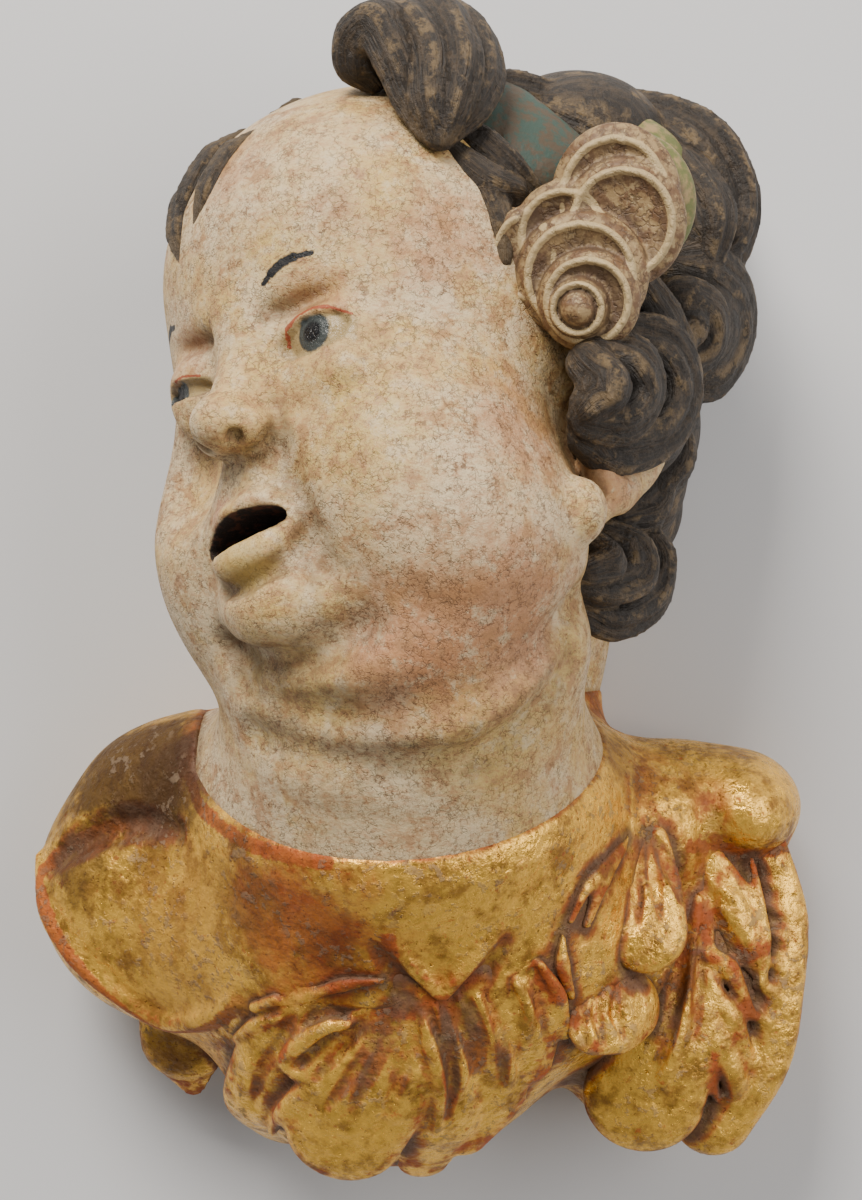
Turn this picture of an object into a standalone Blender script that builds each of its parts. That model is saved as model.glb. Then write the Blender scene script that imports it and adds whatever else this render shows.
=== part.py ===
"""Carved and painted cherub head over a collar of gilded wings, made to hang on a wall.

The carving is worked up as a carver would: round masses first, run into one
another, then the smaller forms, then cuts and hollows, and last the flat sawn
back.
"""
import math
from concurrent.futures import ThreadPoolExecutor

import bmesh
import bpy
import numpy as np
import openvdb
from mathutils import Matrix, Vector

MM = 0.001

# All sizes below are in millimetres. The wall is the plane y = 0, and the carving faces -Y.
GRAIN = 1.0  # spacing of the lattice that the surface is found on
FACETS = 9400  # how many facets the finished solid keeps
FAR = 1e3  # depth where no form is near


# Forms. A form is a depth field: how far a point lies outside its surface, in millimetres.
class Form:
    def __init__(self, depth, low, high, soft):
        self.depth = depth
        self.soft = soft
        self.low = low
        self.high = high


def rotation(degrees):
    x, y, z = (math.radians(a) for a in degrees)
    turn = Matrix.Rotation(z, 3, "Z") @ Matrix.Rotation(y, 3, "Y") @ Matrix.Rotation(x, 3, "X")
    return np.array(turn)


class Place:
    """A frame to model in: its axes and its origin, in millimetres of the whole piece."""

    def __init__(self, axes=np.eye(3), origin=(0, 0, 0)):
        self.axes = np.array(axes, float)
        self.origin = np.array(origin, float)

    def point(self, at):
        return np.array(at, float) @ self.axes.T + self.origin


WALL = Place()


def ball(centre, radii, turn=(0, 0, 0), soft=0.0, place=WALL):
    """A ball stretched to three radii and turned by degrees. soft is how far it runs into its neighbours."""
    centre, radii = place.point(centre), np.array(radii, float)
    axes = place.axes @ rotation(turn)

    def depth(points):
        local = (points - centre) @ axes
        near = np.sqrt(((local / radii) ** 2).sum(1))
        steep = np.sqrt(((local / radii**2) ** 2).sum(1))
        return near * (near - 1) / np.maximum(steep, 1e-9)

    reach = np.abs(axes) @ radii
    return Form(depth, centre - reach, centre + reach, soft)


def smooth_line(points, steps=6):
    """Catmull-Rom curve through the points."""
    p = np.array(points, float)
    p = np.vstack([2 * p[0] - p[1], p, 2 * p[-1] - p[-2]])
    out = []
    for a, b, c, d in zip(p[:-3], p[1:-2], p[2:-1], p[3:]):
        square = 2 * a - 5 * b + 4 * c - d
        cube = 3 * b - a - 3 * c + d
        for t in np.linspace(0, 1, steps, endpoint=False):
            out.append(0.5 * (2 * b + (c - a) * t + square * t**2 + cube * t**3))
    out.append(p[-2])
    return np.array(out)


def spread(values, line):
    """Values given at even steps, read at every point of a line."""
    return np.interp(np.linspace(0, 1, len(line)), np.linspace(0, 1, len(values)), values)


def roll(points, radii, soft=0.0, place=WALL, strands=0, cut=0.0, flat=1.0, up=(0, -1, 0)):
    """A tapering roll through points. With strands it is a lock of hair: cut is how deep the
    valleys between strands go, as a share of the radius, and flat thins it along up."""
    line = smooth_line([place.point(p) for p in points])
    widths = spread(radii, line)
    up = place.axes @ np.array(up, float)
    runs = np.diff(line, axis=0)
    frames = []
    for run in runs:
        along = run / np.linalg.norm(run)
        up = up - along * (up @ along)
        up = up / np.linalg.norm(up)
        frames.append((up, np.cross(along, up)))

    def depth(where):
        best = np.full(len(where), FAR)
        for k, (a, run) in enumerate(zip(line[:-1], runs)):
            ra, rb = widths[k], widths[k + 1]
            near = np.abs(where - a - run / 2).max(1) < np.linalg.norm(run) / 2 + max(ra, rb) + 8
            if not near.any():
                continue
            off = where[near] - a
            t = np.clip(off @ run / (run @ run), 0, 1)
            off = off - t[:, None] * run
            radius = ra + (rb - ra) * t
            if strands or flat != 1.0:
                high, side = frames[k]
                h, s = off @ high, off @ side
                rest = off - h[:, None] * high - s[:, None] * side
                far = np.sqrt((h / flat) ** 2 + s**2 + (rest**2).sum(1))
                angle = np.arctan2(h / flat, s)
                radius = radius * (1 - cut + cut * np.abs(np.cos(angle * strands / 2)) ** 0.7)
                gap = (far - radius) * min(flat, 1.0) ** 0.5
            else:
                gap = np.sqrt((off**2).sum(1)) - radius
            best[near] = np.minimum(best[near], gap)
        return best

    reach = widths.max()
    return Form(depth, line.min(0) - reach, line.max(0) + reach, soft)


def mirrored(maker, where, *rest, **more):
    """The same form on both sides of the face."""
    where = np.array(where, float)
    forms = [maker(where, *rest, **more)]
    if "turn" in more:
        ax, ay, az = more["turn"]
        more = {**more, "turn": (ax, -ay, -az)}
    return forms + [maker(where * [-1, 1, 1], *rest, **more)]


def soft_join(a, b, soft):
    if soft <= 0:
        return np.minimum(a, b)
    near = np.clip(soft - np.abs(a - b), 0, None) / soft
    return np.minimum(a, b) - near**2 * soft / 4


NEAR_BLOCK = 1.1  # a block is halved if its middle lies this near the surface, as a share of its size
MARGIN = 6.0  # how far from a form its field is still worked out


def field_of(steps, points):
    """Adds and cuts the forms in their order. steps holds ("add", form) and ("cut", form)."""
    total = np.full(len(points), FAR)
    for action, form in steps:
        room = MARGIN + form.soft
        near = ((points > form.low - room) & (points < form.high + room)).all(1)
        if not near.any():
            continue
        depth = form.depth(points[near])
        if action == "add":
            total[near] = soft_join(total[near], depth, form.soft)
        else:
            total[near] = -soft_join(-total[near], depth, form.soft)
    return total


def added(forms):
    return [("add", form) for form in forms]


def taken(forms):
    return [("cut", form) for form in forms]


def skin(name, steps, low, high, grain):
    """Draws a closed skin where the field is nought, on a lattice of this grain in millimetres.
    Blocks of the lattice are halved only where the surface runs near them."""
    levels = 3  # how many times a block is halved, down to the grain
    low, high = np.array(low, float), np.array(high, float)
    size = grain * 2**levels
    shape = np.ceil((high - low) / size).astype(int)
    cells = np.stack(np.meshgrid(*(np.arange(n) for n in shape), indexing="ij"), -1).reshape(-1, 3)
    halves = np.stack(np.meshgrid([0, 1], [0, 1], [0, 1], indexing="ij"), -1).reshape(-1, 3)
    values = np.zeros(shape, np.float32)
    for level in range(levels + 1):
        if level:
            size /= 2
            values = values.repeat(2, 0).repeat(2, 1).repeat(2, 2)
            cells = (cells[:, None] * 2 + halves).reshape(-1, 3)
        blocks = np.array_split(cells, max(1, len(cells) // 40000))
        with ThreadPoolExecutor() as pool:
            found = np.concatenate(list(pool.map(lambda block: field_of(steps,
                low + (block + 0.5) * size), blocks)))
        values[tuple(cells.T)] = np.clip(found, -2, 2)
        cells = cells[np.abs(found) < size * NEAR_BLOCK + 0.8]
    grid = openvdb.FloatGrid(2.0)
    grid.copyFromArray(values)
    points, quads = grid.convertToQuads(isovalue=0.0)
    mesh = bpy.data.meshes.new(name)
    mesh.from_pydata((((points + 0.5) * grain + low) * MM).tolist(), [], quads.tolist())
    mesh.update()
    made = bpy.data.objects.new(name, mesh)
    bpy.context.scene.collection.objects.link(made)
    return made


FRONT = -110.0  # no form comes further forward than this


def laid(points, under, lift=0.0):
    """The points moved in or out until they lie on the forms under them, then lifted off by this much."""
    points = np.array(points, float)
    depths = np.arange(FRONT, 2, 1.0)
    lifts = np.broadcast_to(lift, len(points))
    for point, lift in zip(points, lifts):
        column = np.column_stack([np.full(len(depths), point[0]), depths, np.full(len(depths), point[2])])
        values = field_of(under, column)
        inside = np.nonzero(values < 0)[0]
        if len(inside) and inside[0]:
            i = inside[0]
            point[1] = depths[i - 1] + values[i - 1] / (values[i - 1] - values[i]) - lift
    return points


# Head
# Degrees the head is tipped back, leaned over, and turned to the viewer's left.
HEAD_TIP, HEAD_LEAN, HEAD_TURN = -14, -4, -40
HEAD_AT = (-6, -52, 34)


def head_place():
    return Place(rotation((0, HEAD_LEAN, 0)) @ rotation((HEAD_TIP, 0, 0)) @ rotation((0, 0, HEAD_TURN)),
                 HEAD_AT)


HEAD = head_place()


def head_steps():
    def hb(*a, **k):
        return ball(*a, place=HEAD, **k)

    def hr(*a, **k):
        return roll(*a, place=HEAD, **k)

    masses = [
        hb((0, 7, 17), (41, 45, 46)),  # skull
        hb((0, -15, 26), (30, 25, 24), soft=16),  # forehead
        hb((0, -11, -5), (30.5, 27, 28), soft=14),  # face
        *mirrored(hb, (18.5, -18, -21), (19, 19, 20), soft=12),  # cheeks
        *mirrored(hb, (20, -7, -32), (19, 22, 17), turn=(20, 0, 0), soft=14),  # jowls
        hb((0, -28, -24), (13, 11, 12), soft=10),  # muzzle
        hb((-0.5, -31.5, -40.5), (10.5, 9.5, 8.5), soft=9),  # chin
        hb((1, -8, -42), (29, 26, 14), turn=(28, 0, 0), soft=5),  # double chin
        hb((2, -1, -50.5), (29, 26, 12), turn=(28, 0, 0), soft=3),  # roll of the throat
        hr([(0, -36, 8), (0, -38, 0), (0, -43, -10)], [4.5, 4.2, 4.6], soft=6),  # bridge of the nose
        hb((0, -45.5, -11.6), (5.0, 4.9, 4.5), soft=2.5),  # tip of the nose
        *mirrored(hb, (4.1, -42, -12.7), (3.1, 4.4, 3.1), soft=1.8),  # wings of the nose
    ]
    hollows = [
        *mirrored(hb, (15.5, -46, 2), (9, 10, 7), soft=6),  # eye hollows
        *mirrored(hb, (3.7, -45.8, -15.2), (1.4, 1.8, 1.9), soft=0.5),  # nostrils
        hb((-20, -38, -12), (9, 8, 10), soft=9),  # beside the nose, on the far side
    ]
    eye = (14.2, -29.8, 1.7)
    sockets = [
        *mirrored(hb, eye, (10.2, 9.7, 8.6), soft=2.0),  # lids
        *mirrored(hb, (14.5, -36.2, -5.2), (7, 2.0, 2.0), soft=5),  # fold under the eye
    ]
    slits = [
        *mirrored(hb, (15.2, -39.5, 1.5), (8.4, 5.8, 3.5), turn=(0, -9, 0),
                  soft=0.4),  # opening between the lids
        *mirrored(hb, (15.2, -38.8, 8.2), (8.5, 2.6, 1.0), turn=(0, -6, 0),
                  soft=2.6),  # crease over the lid
    ]
    eyes = [*mirrored(hb, eye, (8.3, 8.0, 8.0), soft=0.2)]
    upper_lip = [(-11.5, -35.5, -29.6), (-6, -39.5, -26.2), (-1.2, -41, -25.6), (3.6, -40, -24.8),
                 (8.2, -37, -27.4)]
    lower_lip = [(-11, -35.8, -32.4), (-6, -39.4, -35.2), (-1.2, -40.6, -35.2), (3.6, -39.8, -33.6),
                 (7.8, -36.8, -29.8)]
    lips = [
        hr(upper_lip, [0.8, 1.7, 1.7, 1.7, 0.8], soft=2.5),
        hr(lower_lip, [0.9, 2.4, 2.7, 2.4, 0.9], soft=2.2),
    ]
    mouth = [hb((-2.6, -41, -29.5), (10.2, 12, 3.1), turn=(0, -8, 0), soft=0.8)]
    lip_fold = [hr([(-8, -37.5, -39), (-1, -40, -39.8), (7, -38.3, -37)], [0.6, 1.4, 0.6], soft=3)]
    cheek_fold = [roll(laid([(-25.5, -100, 25), (-24, -100, 20.5), (-22.5, -98, 16), (-20.5, -98, 11),
                             (-18, -98, 5.5)], added(masses)),
                       [0.3, 0.9, 1.0, 0.8, 0.2], soft=6)]
    under_chin = [(-33.5, -90, -8), (-30.5, -92, -10), (-26, -94, -11), (-20.5, -96, -10.5),
                  (-16, -97, -7.5), (-10.5, -98, -4.5)]
    chin_fold = [roll(laid(under_chin, added(masses)), [0.4, 1.2, 1.5, 1.5, 1.0, 0.3], soft=7)]
    jaw = [(-33.5, -88, -15), (-28, -90, -18), (-20, -92, -19.5), (-10, -94, -20), (1.5, -93, -18),
           (13, -88, -13), (21, -80, -6), (25, -72, 0)]
    throat = [(-30.5, -80, -23.5), (-22, -82, -26.5), (-13.5, -84, -28), (-3.5, -85, -28.5),
              (8, -82, -26.5), (18.5, -76, -19), (24.5, -68, -11)]
    folds = [
        roll(laid(jaw, added(masses)), [0.4, 1.2, 2.0, 2.4, 2.4, 2.0, 1.4, 0.5], soft=6),
        roll(laid(throat, added(masses)), [0.3, 0.9, 1.4, 1.8, 1.8, 1.4, 0.5], soft=5),
    ]
    details = taken(hollows + chin_fold + folds + cheek_fold) + added(sockets) + taken(slits)
    details += added(eyes + lips) + taken(mouth + lip_fold)
    return added(masses), details


def bust_steps():
    masses = [
        ball((-5, -36, -42), (41, 30, 34), soft=8),  # neck
        roll([(-4, -58, -10), (-5, -48, -32)], [31, 33], soft=12),  # front of the neck
        ball((-3, -28, -66), (48, 32, 30), soft=14),  # breast
        ball((-47, -22, -56), (29, 20, 27), soft=12),  # left wing's cap
        ball((-38, -24, -36), (24, 16, 12), soft=12),  # top of that cap
        ball((40, -20, -42), (30, 16, 13), soft=14),  # right shoulder
        ball((47, -20, -72), (26, 16, 34), soft=8),  # ground of the right wing
        ball((4, -6, 8), (34, 26, 62), soft=10),  # back of the block
        ball((-9, -24, -89), (29, 25, 20), soft=10),  # ground of the middle feathers
    ]
    return added(masses)


# Hair: low masses over the skull, then locks that curl on them
def lock(points, radii, soft=0.8, strands=5, cut=0.22, flat=0.85, **more):
    return roll(points, radii, soft=soft, strands=strands, cut=cut, flat=flat, **more)


def hair_steps():
    masses = [
        ball((45, -34, 75.5), (13, 17, 15), soft=3),
        ball((48, -12, 73), (12, 15, 15), soft=3),
        ball((48, -38, 53.5), (11, 17, 15), soft=3),
        ball((48.5, -14, 51), (11, 15, 14), soft=3),
        ball((37, -54, 36.5), (11, 14, 15), soft=3),
        ball((40, -24, 34.5), (13, 18, 17), soft=3),
        ball((41.5, -32, 25), (8, 15, 13), soft=3),
        ball((37.5, -16, 19), (13, 18, 14), soft=3),
        ball((33, -46, 4.5), (9, 16, 11), soft=2),
        ball((32.5, -22, 8), (14, 20, 13), soft=2),
        ball((27, -36, 86), (18, 24, 14), soft=4),
        ball((38, -14, 87), (20, 18, 16), soft=4),
        ball((0, -66, 95), (9, 12, 12), soft=3),
    ]
    behind = [
        lock([(34, -14, 93), (44, -16, 90.5), (54, -14, 83), (56, -10, 73.5), (53, -8, 66.5)],
             [5, 6, 6.5, 6, 4]),
        lock([(52.5, -18, 65.5), (56.5, -12, 58), (54, -8, 49.5), (49, -10, 44)], [4, 6, 6, 4.5]),
        lock([(43.5, -26, 40), (44.5, -14, 32.5), (43, -8, 25.5), (39, -6, 20.5)], [4, 6, 5.5, 4.5]),
        lock([(40.5, -30, 23.5), (39.5, -20, 16), (40, -14, 8), (37, -16, 0), (30.5, -24, -2)],
             [4, 5.5, 6, 5.5, 4]),
    ]
    upper = [
        lock([(31, -26, 93), (40, -34, 91), (50, -40, 85), (55, -40, 75.5), (53.5, -42, 66.5),
              (48.5, -48, 62.5)],
             [5, 7.5, 8.5, 8, 7, 4.5], strands=7),
        lock([(40, -36, 86), (45.5, -48, 78), (49.5, -52, 70.5), (49.5, -52, 64)], [5, 7, 7, 5],
             strands=6),
        lock([(41.5, -50, 58), (47.5, -52, 61.5), (54.5, -44, 58), (56.5, -38, 50.5), (52.5, -40, 43),
              (46.5, -46, 41.5)],
             [4, 6, 6.5, 6.5, 6, 4.5]),
        lock([(42, -56, 49), (44.5, -60, 54), (50, -56, 52), (50, -54, 46.5), (46, -56, 44),
              (42.5, -60, 46.5)],
             [3.5, 4.5, 4.5, 4.5, 4, 3], strands=4),
        ball((46, -60, 49), (4, 4, 4), soft=1),
        lock([(36, -70, 55), (40, -68, 49.5), (43.5, -62, 43.5), (45.5, -52, 38)], [4, 4.5, 4.5, 3.5],
             strands=4),
    ]
    ear_curl = [
        lock([(31, -78, 45.5), (39, -72, 43.5), (41.5, -68, 37), (38.5, -70, 30.5), (32, -76, 27),
              (26, -82, 27.5)],
             [4.5, 6.5, 7.2, 7.2, 6.5, 4], strands=5, cut=0.28),
        lock([(28.5, -84, 42), (33.5, -82, 39.5), (35, -80, 35), (31.5, -82, 31), (26, -86, 30.5)],
             [4, 5.5, 5.5, 5.5, 4], strands=4, cut=0.28),
        lock([(26, -86, 39.5), (29, -88, 35.5), (26.5, -88, 32.5)], [4, 5, 4], strands=3),
        lock([(25.5, -84, 29.5), (28.5, -80, 25), (31, -76, 22.5)], [3, 3.5, 2.5], strands=3),
    ]
    nape = [
        lock([(44, -42, 33), (44.5, -44, 27), (41.5, -46, 22)], [5, 6, 4.5]),
        lock([(42, -44, 22.5), (39.5, -48, 17.5), (35, -52, 15.5)], [4.5, 5.5, 4]),
        lock([(36, -46, 13), (40.5, -46, 7.5), (38.5, -50, 0.5), (31.5, -58, -3), (25.5, -64, -1)],
             [5, 6, 6, 5.5, 4], strands=5, cut=0.28),
        lock([(31.5, -58, 11), (36, -58, 8), (35.5, -60, 4), (30, -66, 2), (25, -70, 3.5)],
             [4, 5, 5, 4.5, 3.5], strands=4, cut=0.28),
        lock([(28, -66, 9.5), (30.5, -68, 6.5), (27, -72, 5)], [4, 4.5, 3.5], strands=3),
    ]
    crown = [
        lock([(9, -60, 92), (15, -56, 92), (22, -50, 91), (29.5, -44, 89)], [3.5, 4.5, 5, 4.5]),
        lock([(23.5, -40, 91.5), (28, -38, 93), (32, -36, 90.5)], [4, 5, 4]),
        lock([(3, -78, 77), (6.5, -79, 73.5), (10, -79, 71), (14.5, -77, 70)], [2.2, 3.2, 3.4, 2.4],
             strands=4),
        lock([(6.5, -78, 73), (9.5, -79, 68.5), (11.5, -80, 63.5), (12, -81, 57.5)], [2, 3.2, 3.2, 2],
             strands=4),
    ]
    forelock = [
        lock([(2, -82, 78), (6.5, -78, 84), (9, -72, 91.5), (7, -66, 100), (1.5, -60, 106)],
             [2.5, 4, 4.5, 4.5, 4], strands=4),
        lock([(1.5, -83, 77.5), (3, -82, 84), (4, -79, 91.5), (1.5, -72, 100), (-3.5, -64, 105.5)],
             [2.5, 4.5, 5.5, 5.5, 4], strands=5),
        lock([(1, -83, 78), (0, -83, 84), (0, -80, 91.5), (-3, -75, 98.5), (-8, -68, 103)],
             [2.5, 4, 5, 5, 4], strands=4),
        lock([(-0.5, -82, 79), (-3.5, -80, 85), (-5.5, -79, 91.5), (-9, -76, 98.5), (-12.5, -74, 97.5),
              (-13.5, -72, 93.5), (-10.5, -71, 90.5)],
             [2.5, 3.5, 4.5, 5, 5, 4.5, 3], strands=4),
        ball((-11, -70, 94.5), (4.5, 6, 5), soft=1),
    ]
    far_side = [
        lock([(-25, -22, 46), (-31, -18, 36), (-33, -14, 24), (-32, -13, 10)], [2.5, 4, 4.5, 2.5],
             place=HEAD,
             up=(-1, 0, 0)),
        lock([(-20, -12, 54), (-32, -9, 42), (-36, -5, 28), (-36, -3, 12)], [2.5, 4.5, 5, 3.5],
             place=HEAD, up=(-1, 0, 0)),
        lock([(-8, -14, 60), (-20, -16, 54), (-28, -16, 44)], [2.5, 4, 3], place=HEAD, up=(-0.5, 0, 1)),
        lock([(-33, -8, 40), (-39, 0, 30), (-40, 6, 16), (-38, 10, 2)], [3, 4.5, 5, 4], place=HEAD,
             up=(-1, 0, 0)),
        lock([(-28, 2, 52), (-37, 14, 36), (-39, 20, 18), (-36, 24, 0)], [3, 5, 6, 5], place=HEAD,
             up=(-1, 0, 0)),
        lock([(-18, 14, 60), (-32, 28, 44), (-35, 34, 22), (-31, 36, 2)], [3, 6, 6.5, 5], place=HEAD,
             up=(-1, 0, 0)),
        lock([(-36, 14, 2), (-37, 22, -10), (-32, 28, -22)], [5, 6, 4], place=HEAD, up=(-1, 0, 0)),
        lock([(-34, 34, 2), (-31, 36, -12), (-24, 38, -24)], [5, 6, 4], place=HEAD, up=(-1, 0, 0)),
        lock([(-8, 0, 62), (-16, 20, 62), (-18, 38, 50), (-14, 50, 30)], [3, 5, 6.5, 5], place=HEAD,
             up=(0, 0, 1)),
        lock([(8, 4, 62), (4, 24, 62), (4, 42, 52), (6, 52, 34)], [3, 5, 6.5, 5], place=HEAD,
             up=(0, 0, 1)),
    ]
    head = head_steps()[0]
    temple = [
        lock(laid([(-33, -62, 86), (-37.5, -58, 81.5), (-39.5, -56, 75), (-43, -57, 67.5)], head, -2.4),
             [2, 4, 4, 1.6]),
        lock(laid([(-36.5, -58, 85.5), (-41.5, -54, 81), (-44, -52, 74), (-46, -54, 67)], head, -2.6),
             [2, 4.2, 4.4, 1.8]),
    ]
    return masses + behind + far_side + temple, crown + upper + nape + ear_curl + forelock


def band_steps():
    """The headband runs from behind the forelock to the rose."""
    return added([roll([(5.5, -63, 90.5), (13, -64, 85), (20.5, -65, 78.5), (28.5, -64, 71.5)],
                       [6, 9, 9, 7], soft=1, flat=0.42,
                       up=(0.35, -0.8, 0.5))])


def ear_steps():
    """The near ear shows its rim and its lobe below the hair."""
    place = Place(HEAD.axes, (31, -72, 25.5))
    ear = [
        ball((0, 0, 0), (4.5, 9, 11), turn=(0, 0, 12), soft=2, place=place),
        ball((25, -83, 15), (4.6, 4.6, 5.6), soft=2.5),
        roll([(26, -80, 13), (31, -74, 17), (37, -66, 21.5), (40.5, -60, 27.5), (41.5, -58, 33.5)],
             [2.4, 2.2, 2.4, 2.4, 2.2],
             soft=1.5),
    ]
    shell = [ball((6, 0, -1), (4, 6.5, 7), turn=(0, 0, 12), soft=1.5, place=place)]
    return added(ear) + taken(shell)


# Rose on the headband: shallow petals, each hollowed and lapped by the next, round a button
ROSE = Place(rotation((12, 0, -12)), (25.5, -82, 49.5))


def rose_steps():
    petals = [
        # across, out, up, radius across, radius up
        (5.5, 5, 17.5, 11, 12.5),
        (-9.5, 2, 8.5, 6.3, 8.5),
        (-3, 3.5, 12, 9, 9),
        (7, 3, 13.5, 10.5, 11),
        (0, 0.5, 5, 11.3, 11),
        (1.4, -2, 1, 8.7, 8.7),
        (0, -4, 0, 5.2, 5.2),
    ]
    steps = []
    for across, out, up, wide, tall in petals:
        steps.append(("add", ball((across, out, up), (wide, 4.5, tall), soft=0.6, place=ROSE)))
        steps.append(("cut", ball((across, out - 4.6, up), (wide * 0.9, 3.2, tall * 0.9), soft=0.4,
                                  place=ROSE)))
    steps.append(("add", ball((0, -5.5, 0), (3.2, 3.5, 3.2), soft=0.4, place=ROSE)))
    return steps


def leaf_steps():
    return added([
        ball((5, 10, 10), (13, 9, 14), soft=0.5, place=ROSE),
        roll([(29.5, -50, 87), (35.5, -52, 85), (41, -52, 81), (45, -50, 74.5)], [3, 6, 6.5, 3], soft=2,
             flat=0.6,
             up=(0.3, -0.8, 0.5)),
        roll([(29, -53, 86.5), (35, -56, 84), (40.5, -56, 80), (44.5, -53, 74)], [0.8, 1.2, 1.2, 0.6],
             soft=1),
    ])


# Collar: a smooth gilded cape cut to the neckline, with wings and feathers laid over it
# Which way the cape lies from the plane of the neckline, and a point on that plane.
NECKLINE = Vector((0.053, 0.444, -1)).normalized()
NECKLINE_AT = (-5.3, -78.7, -43.9)
CAPE_THICK = 1.5


def cape(under):
    """The bust grown by the thickness of the cape, below the neckline."""
    down = np.array(NECKLINE)

    def depth(points):
        past = (points - NECKLINE_AT) @ down
        body = field_of(under, points) - CAPE_THICK * np.clip(0.3 + past / 8, 0.3, 1)
        return -soft_join(-body, past, 1.6)

    low = np.min([form.low for _, form in under], axis=0) - CAPE_THICK
    high = np.max([form.high for _, form in under], axis=0) + CAPE_THICK
    return Form(depth, low, high, 0.0)


def feather(points, widths, flat=0.4, rib=1.0, soft=0.8, up=(0, -1, 0)):
    """A feather: a flat tongue, with a rib down its middle."""
    steps = added([roll(points, widths, soft=soft, flat=flat, up=up)])
    if rib:
        smooth = smooth_line(points)
        top = smooth + np.array(up, float) * (spread(widths, smooth) * flat)[:, None]
        steps += added([roll(top[::3], [rib * 1.3, rib, rib * 0.5], soft=0.8)])
    return steps


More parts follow.
